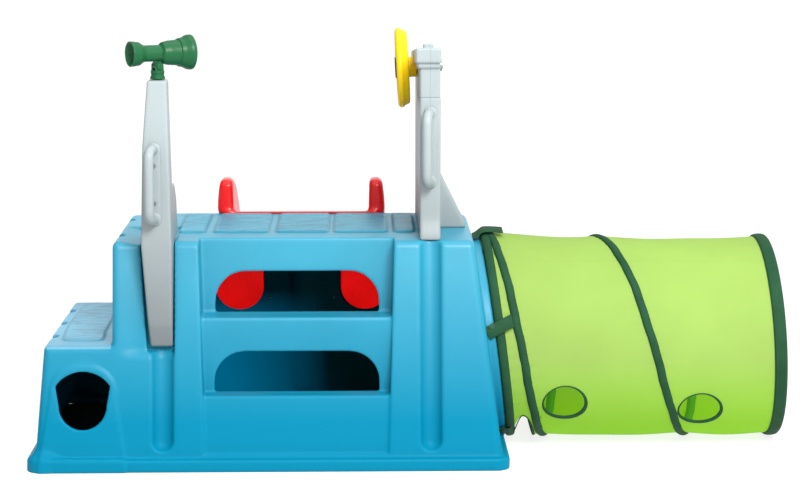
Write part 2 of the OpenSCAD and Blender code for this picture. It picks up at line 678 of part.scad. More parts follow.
module scope_barrel() color(green) at_scope() difference() {
  union() {
    translate([0, 0, barrel_up]) turned() polygon(soften([
      [barrel_r - 3, -34], [barrel_r, -34], [barrel_r, 13], [front_r - 2, 20], [front_r, 28], [front_r, 52],
      [front_r - 3, 52], [front_r - 3, 28], [front_r - 5, 22], [barrel_r - 3, 14]
    ], [0, 1, 3, 3, 3, 1, 0, 2, 2, 2], 3));
    translate([0, 7.5 - side_gap, 0]) rotate([90, 0, 0]) {
      cylinder(r = 8.5, h = 15 - 2 * side_gap);
      translate([-7, 0, 0]) cube([14, barrel_up - barrel_r + 2, 15 - 2 * side_gap]);
    }
  }
  rotate([90, 0, 0]) cylinder(r = pin_r + run, h = 60, center = true);
}
module scope_eyecup() color(green) at_scope() translate([0, 0, barrel_up]) turned() polygon(soften([
  [barrel_r + seat, -28], [barrel_r + seat, -35], [13, -37], [15, -44], [eye_r - 3, -70], [eye_r - 1, -71.5],
  [eye_r, -70], [eye_r - 1.5, -56], [eye_r - 2.5, -38], [barrel_r + 3, -28]
], [0, 0, 0, 2, 1, 0, 1, 4, 6, 1], 3));
module scope_hood() color(green) at_scope() translate([0, 0, barrel_up]) turned() polygon(soften([
  [front_r + seat, 36], [front_r + 4, 36], [front_r + 4.5, 50], [hood_r - 2, 60], [hood_r, 66], [hood_r, 74],
  [hood_r - 2, 78], [hood_r - 4, 78], [hood_r - 5, 64], [front_r - 1, 56], [front_r - 1, 52 + seat],
  [front_r + seat, 52 + seat]
], [0, 1, 4, 3, 2, 2, 0, 0, 3, 2, 0, 0], 3));
module eye_lens() color([0.8, 0.9, 0.95, 0.5]) at_scope() translate([-33, 0, barrel_up]) rotate([0, 90, 0])
  cylinder(r = barrel_r - 3 - seat, h = 3);
module front_lens() color([0.8, 0.9, 0.95, 0.5]) at_scope() translate([46, 0, barrel_up]) rotate([0, 90, 0])
  cylinder(r = front_r - 3 - seat, h = 3);

// Slide

function bed_z(y) = slide_foot + (deck_h + 5 - slide_foot) * (1 + cos(180 * (y - slide_y0) / slide_run)) / 2;
bed_ys = [for (k = [0:18]) slide_y0 + slide_run * k / 18];
rail_ys = [for (k = [1:18]) slide_y0 + slide_run * k / 18];
function rail_up(y) = rail_h - 5 - 24 * (y - slide_y0) / slide_run;
function rail_line() = concat(
  [[slide_y0 - 24, deck_h + seat], [slide_y0 + 2, deck_h + seat], [wall_y(deck_h - 56) + 1, deck_h - 56]],
  [for (y = rail_ys) [y, max(bed_z(y) - slide_foot, 0)]],
  [[slide_y1 + 60, 0], [slide_y1 + 66, slide_foot * 0.6], [slide_y1 + 56, slide_foot + 30]],
  [for (k = [17:-1:1]) [rail_ys[k], bed_z(rail_ys[k]) + rail_up(rail_ys[k])]],
  [[slide_y0 + 20, deck_h + rail_h + 2], [slide_y0 - 14, deck_h + rail_h], [slide_y0 - 24, deck_h + rail_h - 12]]
);
module rail(x0) difference() {
  along_x(x0, x0 + rail_t) polygon(rail_line());
  for (z = [0, -7]) translate([0, 0, z]) along_x(x0 + 4, x0 + rail_t - 4) polygon(inset(rail_line(), 4));
}
module chute() along_x(ladder_x - slide_w / 2 + rail_t - 2, ladder_x + slide_w / 2 - rail_t + 2) polygon(concat(
  [[slide_y0 - 28, deck_h + seat], [slide_y0, deck_h + seat]],
  [for (y = rail_ys) [y - 1, bed_z(y) - 5]],
  [[slide_y1 + 40, slide_foot - 6], [slide_y1 + 55, slide_foot - 22], [slide_y1 + 57, 0], [slide_y1 + 62, 0],
    [slide_y1 + 61, slide_foot - 18], [slide_y1 + 44, slide_foot - 1]],
  [for (k = [18:-1:0]) [bed_ys[k], bed_z(bed_ys[k])]],
  [[slide_y0 - 28, deck_h + 4]]
));
module back_slab(a, b, z0, z1, half = slide_w / 2 - 3) along_x(ladder_x - half, ladder_x + half) polygon([
  [wall_y(z0) + a, z0], [wall_y(z0) + b, z0], [wall_y(z1) + b, z1], [wall_y(z1) + a, z1]
]);
module slide() color(red) difference() {
  union() {
    rail(ladder_x - slide_w / 2);
    rail(ladder_x + slide_w / 2 - rail_t);
    chute();
    back_slab(1, 6, lug_low - 12, deck_h - 20);
    back_slab(1, 30, deck_h - 40, deck_h - 16);
    intersection() {
      along_y(deck_d / 2 - 74, foot_d / 2 + 78) lug_shape(0);
      back_slab(-16, 3, lug_low - 10, deck_h - 10, lug_off + lug_r + 5);
    }
  }
  for (p = slide_fix) square_to_back(ladder_x + p[0], p[1], -1) cylinder(r = screw_r + seat, h = 20);
}
module slide_screws() color(steel) for (p = slide_fix) square_to_back(ladder_x + p[0], p[1], 0) {
  translate([0, 0, 6 * cos(draft) + seat]) cylinder(r = screw_head, h = 3);
  translate([0, 0, -12]) cylinder(r = screw_r, h = 12 + 7);
}

// Tunnel

// angles count from the top towards the ladder side
function hem_at(a) = hem_x - tan(tilt) * cloth_r * cos(a);
function end_at(a) = end_x - tan(end_tilt) * cloth_r * cos(a);
function turn_x(a) = hem_x + tunnel_l * lookup(a, turn_at);
function hoops(a) = concat(
  [hem_at(a)], a > turn_from ? [turn_x(a)] : [], a + 360 < turn_to ? [turn_x(a + 360)] : [], [end_at(a)]
);
function cloth_at(a, x) = let (
    w = hoops(a), k = max([for (i = [0:len(w) - 2]) x >= w[i] ? i : 0]), span = w[k + 1] - w[k],
    u = min(max((x - w[k]) / span, 0), 1)
  ) cloth_r - cloth_sag * sin(180 * u) * min(1, span / 200) - (k == 0 ? 2 * (1 - u) : 0)
    + (k == len(w) - 2 ? 0.8 * u : 0);
function spot(a, x, r) = [x, -r * sin(a), tunnel_r + r * cos(a)];
// a tube of rings: outer points then inner points, n stations of m
module tube(outer, inner, n, m) polyhedron(
  points = concat(outer, inner),
  faces = concat(
    [for (i = [0:n - 2], j = [0:m - 1]) let (k = (j + 1) % m)
      each [[i * m + j, i * m + k, (i + 1) * m + k], [i * m + j, (i + 1) * m + k, (i + 1) * m + j]]],
    [for (i = [0:n - 2], j = [0:m - 1]) let (k = (j + 1) % m, s = n * m)
      each [[s + i * m + j, s + (i + 1) * m + k, s + i * m + k], [s + i * m + j, s + (i + 1) * m + j, s + (i + 1) * m + k]]],
    [for (j = [0:m - 1]) let (k = (j + 1) % m, s = n * m) each [[j, s + k, k], [j, s + j, s + k]]],
    [for (j = [0:m - 1]) let (k = (j + 1) % m, s = n * m, e = (n - 1) * m)
      each [[e + j, e + k, s + e + k], [e + j, s + e + k, s + e + j]]]
  )
);
around = 40;
module cloth_tube(x0, x1, n) tube(
  [for (i = [0:n - 1], j = [0:around - 1]) let (a = 360 * j / around, x = x0[j] + (x1[j] - x0[j]) * i / (n - 1))
    spot(a, x, cloth_at(a, x))],
  [for (i = [0:n - 1], j = [0:around - 1]) let (a = 360 * j / around, x = x0[j] + (x1[j] - x0[j]) * i / (n - 1))
    spot(a, x, cloth_at(a, x) - cloth_t)],
  n, around
);
hem_line = [for (j = [0:around - 1]) hem_at(360 * j / around) - 6];
split_line = [for (j = [0:around - 1]) split_x];
end_line = [for (j = [0:around - 1]) end_at(360 * j / around) + 6];
module peep_at(k) translate([hem_x + tunnel_l * (k == 0 ? 0.238 : 0.72), 0, tunnel_r]) rotate([k == 0 ? 118 : 124, 0, 0])
  children();
module tunnel_skirt() color(lime) cloth_tube(hem_line, split_line, 4);
module tunnel_cloth() color(lime) difference() {
  cloth_tube([for (x = split_line) x + seat], end_line, 22);
  for (k = [0, 1]) peep_at(k) translate([0, 0, tunnel_r - 60]) cylinder(r = peep_r + 4 + seat, h = 100);
}
module peephole_rings() color(trim) for (k = [0, 1]) peep_at(k) translate([0, 0, tunnel_r - 26]) difference() {
  cylinder(r = peep_r + 4, h = 19);
  translate([0, 0, -1]) cylinder(r = peep_r, h = 30);
}
turns = [for (a = [turn_from:turn_step:turn_to]) a];
function ring_points(a, w, b) = [for (j = [0:7]) spot(a, turn_x(a) + w * cos(45 * j), sleeve_c + b * sin(45 * j))];
// least gap between neighbouring turns of the sleeve, measured along the tunnel on its stations
sleeve_gap = min([for (a = turns) if (a + 360 <= turn_to) turn_x(a + 360) - turn_x(a) - sleeve_w]);
echo(sleeve_gap = sleeve_gap);
module tunnel_sleeve() color(trim) tube(
  [for (a = turns) each ring_points(a, -sleeve_w / 2, sleeve_b)], [for (a = turns) each ring_points(a, -1.9, 1.9)],
  len(turns), 8
);
module tunnel_wire() color(steel) polyhedron(
  points = [for (a = turns) each ring_points(a, -1.4, 1.4)],
  faces = concat(
    [for (i = [0:len(turns) - 2], j = [0:7]) let (k = (j + 1) % 8)
      each [[i * 8 + j, i * 8 + k, i * 8 + 8 + k], [i * 8 + j, i * 8 + 8 + k, i * 8 + 8 + j]]],
    [[for (j = [7:-1:0]) j], [for (j = [0:7]) (len(turns) - 1) * 8 + j]]
  )
);
module hoop_at(x, lean) translate([x, 0, tunnel_r]) rotate([0, -lean, 0]) rotate([0, 90, 0]) children();
module band() rotate_extrude($fn = 96) difference() {
  translate([ring_in, -band_w / 2]) square([ring_out - ring_in, band_w]);
  translate([(ring_in + ring_out) / 2, 0]) circle(r = 1.5 + seat, $fn = 24);
}
module hoop() rotate_extrude($fn = 96) translate([(ring_in + ring_out) / 2, 0]) circle(r = 1.5, $fn = 24);
module hem_band() color(trim) hoop_at(hem_x, tilt) band();
module hem_hoop() color(steel) hoop_at(hem_x, tilt) hoop();
module end_band() color(trim) hoop_at(end_x, end_tilt) band();
module end_hoop() color(steel) hoop_at(end_x, end_tilt) hoop();

// Straps

strap_in = tunnel_r + 0.2;
module wrap(a, w, r0, r1, x0, x1) translate([0, 0, tunnel_r]) rotate([0, 90, 0]) rotate([0, 0, a + 180 - w / 2])
  rotate_extrude(angle = w) translate([r0, x0]) square([r1 - r0, x1 - x0]);
function strap_x(a) = right_x(tunnel_r + strap_in * min(cos(a - strap_a / 2), cos(a + strap_a / 2))) + 0.5;
module strap(a) color(trim) wrap(a, strap_a, strap_in, strap_in + 2, strap_x(a), hem_x + 40 - 26 * cos(a));
strap_angles = [0, 74, 286, 145, 215];
module strap_top() strap(strap_angles[0]);
module strap_front() strap(strap_angles[1]);
module strap_rear() strap(strap_angles[2]);
module strap_low_front() strap(strap_angles[3]);
module strap_low_rear() strap(strap_angles[4]);
module strap_studs() color(trim) for (a = strap_angles) translate([strap_x(a) + 12, 0, tunnel_r]) rotate([a, 0, 0])
  translate([0, 0, strap_in + 2 + seat]) cylinder(r = 6, h = 2);

base_shell();
post_outer();
post_inner();
post_grip();
post_grip_screws();
post_seam_screws();
post_screws();
helm_inner();
helm_outer();
helm_head();
helm_grip();
helm_grip_screws();
helm_seam_screws();
helm_screws();
slide();
slide_screws();
steering_wheel();
wheel_cap();
wheel_axle();
axle_nut();
scope_collar();
scope_yoke();
scope_pin();
scope_barrel();
scope_eyecup();
scope_hood();
eye_lens();
front_lens();
tunnel_skirt();
tunnel_cloth();
tunnel_sleeve();
tunnel_wire();
hem_band();
hem_hoop();
end_band();
end_hoop();
peephole_rings();
strap_top();
strap_front();
strap_rear();
strap_low_front();
strap_low_rear();
strap_studs();
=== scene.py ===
import functools
import itertools
import json
from math import acos, asin, atan, atan2, cos, degrees, hypot, pi, radians, sin, tan

import bpy
import numpy as np
from mathutils import Euler, Matrix, Vector


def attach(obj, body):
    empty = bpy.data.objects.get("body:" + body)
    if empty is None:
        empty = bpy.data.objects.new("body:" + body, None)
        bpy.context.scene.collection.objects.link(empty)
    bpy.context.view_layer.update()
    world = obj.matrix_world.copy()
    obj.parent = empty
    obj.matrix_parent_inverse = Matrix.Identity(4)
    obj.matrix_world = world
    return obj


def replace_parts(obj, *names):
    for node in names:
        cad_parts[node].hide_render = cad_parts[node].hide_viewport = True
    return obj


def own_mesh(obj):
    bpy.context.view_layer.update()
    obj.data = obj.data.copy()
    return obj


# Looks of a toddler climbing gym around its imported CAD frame.
# Solids are modelled in millimetres and turned into metres when their mesh is made.

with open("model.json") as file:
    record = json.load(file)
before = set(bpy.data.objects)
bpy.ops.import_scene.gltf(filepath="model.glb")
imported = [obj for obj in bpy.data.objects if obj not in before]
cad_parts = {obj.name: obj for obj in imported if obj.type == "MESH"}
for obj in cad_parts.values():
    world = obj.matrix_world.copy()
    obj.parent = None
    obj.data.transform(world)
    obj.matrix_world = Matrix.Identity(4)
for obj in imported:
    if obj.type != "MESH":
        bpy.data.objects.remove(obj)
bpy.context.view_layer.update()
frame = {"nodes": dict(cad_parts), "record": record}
nodes = frame["nodes"]
MM = 0.001


# Sizes of the base in millimetres

DECK_H, STEP_H, RIM_H = 482, 262, 26
DECK_LEFT, DECK_RIGHT, FOOT_RIGHT = -338, 444, 506
STEP_LEFT, FOOT_LEFT = -484, -504
DECK_HALF, FOOT_HALF = 224, 322
DRAFT = (FOOT_HALF - DECK_HALF) / DECK_H
WALL, DECK_EDGE_R, STEP_EDGE_R, REAR_CORNER_R = 8, 14, 9, 30
RIM_HALF_X, RIM_HALF_Y, RIM_CORNER = 518, 335, 32
LADDER_X, LADDER_HALF, LADDER_SPREAD = 59, 197, 14
TREADS = (320, 156)
RISERS_Y, RISER_LEAN = (-190, -252), 18
FRONT_LOW, FRONT_SINK = 34, 5
WINDOW_HALF, WINDOW_LOW, WINDOW_HIGH, WINDOW_R = 178, 2, 90, 66
CHANNELS = ((-228, -1), (349, -1), (LADDER_X, 1))
CHANNEL_R, CHANNEL_LOW, CHANNEL_OUT = 23, 63, 4
POCKET_DEEP, DENT_DEEP = 18, 8
NOTCHES = ((DECK_LEFT - 3, DECK_H, (-118, 112)), (STEP_LEFT - 3, STEP_H, (-150, 0, 150)))
NOTCH_R, NOTCH_DEEP = 20, 15
PLANKS = ((-205, -147), (-127, -8), (11, 126), (139, 257), (272, 317))
PLANK_Y, PLANK_HALF, PLANK_R = 46, 142, 10
STEP_PAD_X, STEP_PAD_Y, STEP_PAD_HOLLOW = -407, 17, 7
STEP_PAD_HALF_X, STEP_PAD_HALF_Y, STEP_PAD_R = 44, 222, 14
PAD_RISE, ARCH_RISE = 4, 3.5
ARCH_Z, ARCH_HALF, ARCH_HALF_H, ARCH_R = 90, 72, 133, 60
STEP_HOLE_X, STEP_HOLE_LOW, STEP_HOLE_W = -400, 86, 117
COLLAR_R, COLLAR_IN, COLLAR_OUT, CRAWL_R = 226, 380, 20, 200

# Sizes of the towers

POST_TOP, POST_LOW, POST_FRONT, POST_X = 834, 258, 275, -236
POST_LEAN, POST_LEFT_LOW, POST_LEFT_DECK, POST_RIGHT = 13, -255, -271, -205
HELM_X, HELM_T, HELM_D, SEAM = 326, 45, 197, 773
HALF_X = HELM_X + HELM_T / 2
HEAD_H, HEAD_FALL = 107, 16
BRACE_L, BRACE_H, BRACE_HALF = 62, 125, 28
WHEEL_X, WHEEL_Z, WHEEL_LEAN = 292, 840, radians(3)
AXLE_HOLE_R, BORE_R, CAP_BORE_R = 8.2, 8.1, 15
GRIP_TURN, GRIP_OUT, GRIP_HALF, GRIP_BEND, BAR_R = radians(11), 42, 75, 22, 10.5
GRIP_POST_Z, GRIP_HELM_Z, GRIP_PLAY = 613, 682, 0.2

# Sizes of the slide

SLIDE_W, RAIL_T, RAIL_H, SLIDE_RUN, SLIDE_FOOT = 392, 38, 79, 900, 62
SLIDE_END = DECK_HALF + SLIDE_RUN
BED_TOP, BED_T, BED_PARTS = DECK_H + 5, 9, 18
LUG_X, LUG_R, LUG_LOW, LUG_TOP, LUG_PLAY = 149, 57, 300, 398, 0.2

# Sizes of the tunnel: angles count in degrees from its top towards the ladder side

TUNNEL_Z, TUNNEL_L, BAND_W, CLOTH_R, HOOP_R = 230, 612, 28, 223.2, 225
TILT = atan((FOOT_RIGHT - DECK_RIGHT) / DECK_H)
END_TILT = radians(3.1)
HEM_GAP, SKIRT_L, CLOTH_EDGE, CLOTH_SAG, PUCKER, HEM_RISE = 12, 54, 6, 5, 0.45, 14
HEM_X = FOOT_RIGHT - tan(TILT) * TUNNEL_Z + (HEM_GAP + BAND_W / 2) / cos(TILT) + 0.6
END_X = HEM_X + TUNNEL_L
SPLIT_X = HEM_X + SKIRT_L
GIRTH_M = 2 * pi * CLOTH_R * MM
TURN_ANGLES = (0, 180, 360, 540, 720)
TURN_SHARES = (-0.0336, 0.189, 0.388, 0.72, 0.98)
TURN_FROM, TURN_TO = 2, 682
PEEPHOLES = ((121, 0.231), (126, 0.72))
PEEPHOLE_HALF = (46, 44)
NOTCH_ANGLE, NOTCH_HALF = 180, (33, 188)
SEAM_ANGLE = 33
AROUND, SKIRT_ROWS, CLOTH_ROWS = 400, 16, 150
STRAP_R, WALL_STRAP_R, STRAP_HALF_T = 231.2, 230, 0.9


# Distance fields: negative values are inside a solid

def overlap(*solids):
    """What all the solids share, with sharp edges."""
    return functools.reduce(np.maximum, solids)


def round_and(a, b, r):
    """Overlap of two solids with its edge rounded to radius r."""
    u = np.maximum(a + r, 0)
    v = np.maximum(b + r, 0)
    return np.minimum(np.maximum(a, b) + r, 0) + np.sqrt(u * u + v * v) - r


def round_or(a, b, r):
    """Union of two solids with a fillet of radius r between them."""
    return -round_and(-a, -b, r)


def cut(a, b, r):
    """Solid a without b, with the new edges rounded to radius r."""
    return round_and(a, -b, r)


def ease(t):
    """A smooth run from 0 to 1 while t goes from 0 to 1."""
    t = np.clip(t, 0, 1)
    return t * t * (3 - 2 * t)


def rounded_box(u, v, half_u, half_v, r):
    """Distance to a rectangle with corner radius r, in coordinates from its middle."""
    a = np.abs(u) - half_u + r
    b = np.abs(v) - half_v + r
    return np.minimum(np.maximum(a, b), 0) + np.hypot(np.maximum(a, 0), np.maximum(b, 0)) - r


def arc(middle, r, start, end, count):
    """Points on an arc from one angle to another, in radians."""
    t = np.linspace(start, end, count)
    return np.stack([middle[0] + r * np.cos(t), middle[1] + r * np.sin(t)], 1)


def soften(points, radii, steps=6):
    """The outline with each corner replaced by an arc of its radius."""
    out = []
    count = len(points)
    for i, r in enumerate(radii):
        a, b, c = (np.array(points[(i + k) % count], float) for k in (-1, 0, 1))
        if r <= 0:
            out.append(b)
            continue
        u = (a - b) / np.linalg.norm(a - b)
        v = (c - b) / np.linalg.norm(c - b)
        half = acos(np.clip(u @ v, -1, 1)) / 2
        middle = b + (u + v) / np.linalg.norm(u + v) * r / sin(half)
        p = b + u * r / tan(half) - middle
        q = b + v * r / tan(half) - middle
        start = atan2(p[1], p[0])
        turn = (atan2(q[1], q[0]) - start + pi) % (2 * pi) - pi
        out.extend(arc(middle, r, start, start + turn, steps + 1))
    return np.array(out)


def outline(u, v, points):
    """Signed distance to a closed outline, in two coordinates."""
    nearest = np.full(np.broadcast(u, v).shape, np.inf)
    inside = np.zeros(nearest.shape, bool)
    for a, b in zip(np.roll(points, 1, 0), points):
        e = b - a
        du = u - a[0]
        dv = v - a[1]
        t = np.clip((du * e[0] + dv * e[1]) / (e @ e), 0, 1)
        nearest = np.minimum(nearest, (du - t * e[0]) ** 2 + (dv - t * e[1]) ** 2)
        if a[1] != b[1]:
            inside ^= ((a[1] > v) != (b[1] > v)) & (du < e[0] * dv / e[1])
    return np.where(inside, -1, 1) * np.sqrt(nearest)


def grid(low, high, step):
    """Three coordinate arrays that broadcast to a grid from low to high."""
    axes = [np.arange(a, b + step, step, dtype=np.float32) for a, b in zip(low, high)]
    return axes[0][:, None, None], axes[1][None, :, None], axes[2][None, None, :]


CORNERS = np.array(list(itertools.product((0, 1), repeat=3)))
SETTLE_ROUNDS, SETTLE_REACH, LEAST_SLOPE = 2, 0.4, 0.05


def sample(values, at):
    """Values and their slopes at fractional grid places."""
    cell = np.clip(np.floor(at).astype(int), 0, np.array(values.shape) - 2)
    f = at - cell
    value = np.zeros(len(at))
    slope = np.zeros((len(at), 3))
    for c in CORNERS:
        v = values[tuple((cell + c).T)]
        w = [f[:, i] if c[i] else 1 - f[:, i] for i in range(3)]
        value += v * w[0] * w[1] * w[2]
        for i in range(3):
            j, k = (i + 1) % 3, (i + 2) % 3
            slope[:, i] += (1 if c[i] else -1) * v * w[j] * w[k]
    return value, slope


def skin(values, low, step):
    """Vertices and quads of the surface where the values change sign."""
    n = values.shape
    inside = values < 0
    parts = [inside[i:n[0] - 1 + i, j:n[1] - 1 + j, k:n[2] - 1 + k] for i, j, k in CORNERS]
    count = sum(part.astype(np.int8) for part in parts)
    cells = np.argwhere((count > 0) & (count < 8))
    ids = np.full(count.shape, -1, np.int32)
    ids[tuple(cells.T)] = np.arange(len(cells))
    at = np.array([values[tuple((cells + c).T)] for c in CORNERS])
    total = np.zeros((len(cells), 3))
    hits = np.zeros(len(cells))
    for a, b in itertools.combinations(range(8), 2):
        way = CORNERS[b] - CORNERS[a]
        if abs(way).sum() != 1:
            continue
        crossed = (at[a] < 0) != (at[b] < 0)
        share = np.where(crossed, at[a] / np.where(crossed, at[a] - at[b], 1), 0)
        total += crossed[:, None] * (CORNERS[a] + share[:, None] * way)
        hits += crossed
    places = cells + total / hits[:, None]
    for _ in range(SETTLE_ROUNDS):
        value, slope = sample(values, places)
        steep = np.maximum((slope ** 2).sum(1), LEAST_SLOPE * step * step)
        places = places - np.clip(value[:, None] * slope / steep[:, None], -SETTLE_REACH, SETTLE_REACH)
    quads = []
    axes = np.eye(3, dtype=int)
    for axis in range(3):
        e, u, v = axes[axis], axes[(axis + 1) % 3], axes[(axis + 2) % 3]
        first = inside[tuple(slice(0, n[i] - e[i]) for i in range(3))]
        second = inside[tuple(slice(e[i], n[i]) for i in range(3))]
        edges = np.argwhere(first != second)
        keep = np.all((edges - u - v)[:, [(axis + 1) % 3, (axis + 2) % 3]] >= 0, 1)
        keep &= np.all(edges < np.array(n) - 1, 1)
        edges = edges[keep]
        ring = np.stack([ids[tuple((edges - o).T)] for o in (u + v, v, 0 * u, u)], 1)
        flip = ~first[tuple(edges.T)]
        ring[flip] = ring[flip][:, ::-1]
        quads.append(ring)
    return np.array(low) + step * places, np.concatenate(quads)


# Meshes

def assign(thing, **settings):
    """Sets properties of a thing and returns it."""
    for key, value in settings.items():
        setattr(thing, key, value)
    return thing


def add(name, data):
    """A new object in the scene."""
    obj = bpy.data.objects.new(name, data)
    bpy.context.scene.collection.objects.link(obj)
    return obj


def mesh_object(name, points_mm, faces, body, place=None):
    """A smooth mesh from points in millimetres that rides on a CAD body."""
    points = np.asarray(points_mm, float) * MM
    if place is not None:
        m = np.array(place)
        points = points @ m[:3, :3].T + m[:3, 3]
    data = bpy.data.meshes.new(name)
    data.from_pydata(points.tolist(), [], np.asarray(faces).tolist())
    data.polygons.foreach_set("use_smooth", np.ones(len(data.polygons), bool))
    obj = add(name, data)
    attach(obj, body)
    return obj


def moulded(name, make, box, step, keep, slot, stands_for, body="base", place=None, shade_tone=None):
    """A solid that stands for CAD nodes, from a distance field in a box, with a share of its faces.

    A tone gives its material a number for each point, which the base uses as painted shade.
    """
    points, quads = skin(make(*grid(*box, step)), box[0], step)
    obj = mesh_object(name, points, quads, body, place)
    if shade_tone is not None:
        layer = obj.data.attributes.new("shade_tone", "FLOAT", "POINT")
        layer.data.foreach_set("value", shade_tone(*points.T))
    assign(obj.modifiers.new("thin out", "DECIMATE"), ratio=keep)
    dress(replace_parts(obj, *stands_for), slot)


def ring_faces(n, m, closed=True):
    """Quads of n rings with m points each. Where closed, the last ring joins the first."""
    i, j = (k.ravel() for k in np.mgrid[0:n if closed else n - 1, 0:m])
    i_next, j_next = (i + 1) % n, (j + 1) % m
    return np.stack([i * m + j, i * m + j_next, i_next * m + j_next, i_next * m + j], 1)


# Materials

def places_on(tree, kind="Object"):
    return node(tree, "ShaderNodeTexCoord").outputs[kind]


def material(name):
    """A new material, its shader and the places on its object."""
    made = bpy.data.materials.new(name)
    made.use_nodes = True
    return made, made.node_tree.nodes["Principled BSDF"], places_on(made.node_tree)


def plug(socket, value):
    """Links an input to another node's output, or sets it. A colour has three numbers."""
    if isinstance(value, bpy.types.NodeSocket):
        socket.id_data.links.new(value, socket)
    elif socket.type == "RGBA":
        socket.default_value = (*value, 1.0)
    else:
        socket.default_value = value


def feed(target, **inputs):
    """Plugs a node's inputs by their names, with _ for a space."""
    for key, value in inputs.items():
        plug(target.inputs[key.replace("_", " ")], value)


def node(tree, kind, **inputs):
    made = tree.nodes.new(kind)
    feed(made, **inputs)
    return made


def axes_of(coords):
    return node(coords.id_data, "ShaderNodeSeparateXYZ", Vector=coords).outputs[:3]


def noise(coords, scale, detail=2.0, roughness=0.5):
    made = node(coords.id_data, "ShaderNodeTexNoise", Vector=coords, Scale=scale, Detail=detail,
                Roughness=roughness)
    return made.outputs["Fac"]


def mapped(value, low, high, start=0.0, end=1.0):
    """Runs from low to high while the value runs from start to end."""
    made = node(value.id_data, "ShaderNodeMapRange", Value=value, From_Min=start, From_Max=end,
                To_Min=low, To_Max=high)
    return made.outputs["Result"]


def maths(kind, *values):
    """A sum on values, at least one of which is a node's output."""
    tree = next(value.id_data for value in values if isinstance(value, bpy.types.NodeSocket))
    made = assign(tree.nodes.new("ShaderNodeMath"), operation=kind)
    for socket, value in zip(made.inputs, values):
        plug(socket, value)
    return made.outputs[0]


def times(a, b):
    return maths("MULTIPLY", a, b)


def above(value, limit):
    return maths("GREATER_THAN", value, limit)


def below(value, limit):
    return maths("LESS_THAN", value, limit)


def apart(value, middle):
    """How far a value lies from a middle."""
    return maths("ABSOLUTE", maths("SUBTRACT", value, middle))


def mix_colour(share, a, b):
    made = assign(share.id_data.nodes.new("ShaderNodeMix"), data_type="RGBA")
    feed(made, Factor=share, A=a, B=b)
    return next(o for o in made.outputs if o.type == "RGBA")


def bump(height, depth, strength, under=None):
    """Normals of a height, on top of another bump if there is one."""
    made = node(height.id_data, "ShaderNodeBump", Height=height, Distance=depth, Strength=strength)
    if under is not None:
        feed(made, Normal=under)
    return made.outputs["Normal"]


def shade(colour, share):
    return tuple(c * share for c in colour)


def uneven(coords, colour, scale, detail, darkest, lightest):
    """A colour that wanders between two shades of itself."""
    wander = mapped(noise(coords, scale, detail), 0, 1, 0.3, 0.7)
    return mix_colour(wander, shade(colour, darkest), shade(colour, lightest))


def srgb(code):
    """Linear colour of a six-digit hexadecimal code."""
    parts = [int(code[i:i + 2], 16) / 255 for i in (0, 2, 4)]
    return tuple(p / 12.92 if p <= 0.04045 else ((p + 0.055) / 1.055) ** 2.4 for p in parts)


BLUE = (0.020, 0.250, 0.368)
# painted shade low on the base, a painted glow inside it and painted light on the step's top
SHADED_BLUE = (0.001, 0.180, 0.300)
INSIDE_GLOW_BLUE = (0.0, 0.105, 0.21)
STEP_PAINTED_LIGHT = (0.7, 0.8, 0.85)
GREY = srgb("9CA6A8")
RED = srgb("DA0C0C")
YELLOW = srgb("EEC40C")
GREEN = srgb("175632")
LIME = (0.315, 0.480, 0.105)
# painted shade low on the tunnel's cloth
SHADED_LIME = (0.270, 0.590, 0.020)
TRIM = srgb("1D452C")
# painted light on the sleeve where it is seen from inside the tunnel
TRIM_PAINTED_LIGHT = (0.06, 0.26, 0.012)
DARK_GREY = srgb("3A3F42")
BLACK, WHITE = (0, 0, 0), (1, 1, 1)
# the covered grey is painted shade on the floor under the base
FLOOR_GREY, UNDER_BASE_SHADE = (0.25, 0.25, 0.25), (0.03, 0.03, 0.03)

# Places in metres and shares where the looks change
# heights between which painted shade deepens the base's colour towards the floor
SHADE_FULL_Z, SHADE_GONE_Z = 0.1, 0.43
DECK_GRAIN_Z = (DECK_H + 2.5) * MM
STEP_GRAIN_Z = (STEP_H + 2.5) * MM
STEP_TOP_Z = (STEP_H - 6) * MM
STEP_RIGHT = (DECK_LEFT - 2) * MM
SLIDE_GLOW_Y, SLIDE_GLOW_TOP = (FOOT_HALF - 6) * MM, (LUG_TOP + 17) * MM
TAPE_INSIDE = (CLOTH_R - 0.4) * MM
SEAM_HALF = 0.0008
INSIDE_SHADE, GROOVE_SHADE = 0.74, 0.35
STITCHES, RIBS, THREADS = 240.0, 4200.0, 5200.0


def plastic(name, colour, gloss, peel=0.25):
    """Moulded plastic of uneven colour and sheen. Returns its parts for more work."""
    made, shader, coords = material(name)
    surface_colour = uneven(coords, colour, 7, 3, 0.94, 1.05)
    skin_bump = bump(noise(coords, 700, 1), 0.0004, peel)
    sheen = mapped(noise(coords, 30), gloss - 0.05, gloss + 0.05)
    feed(shader, Base_Color=surface_colour, Roughness=sheen, Normal=skin_bump, Specular_IOR_Level=0.22)
    return made, shader, coords, surface_colour, skin_bump


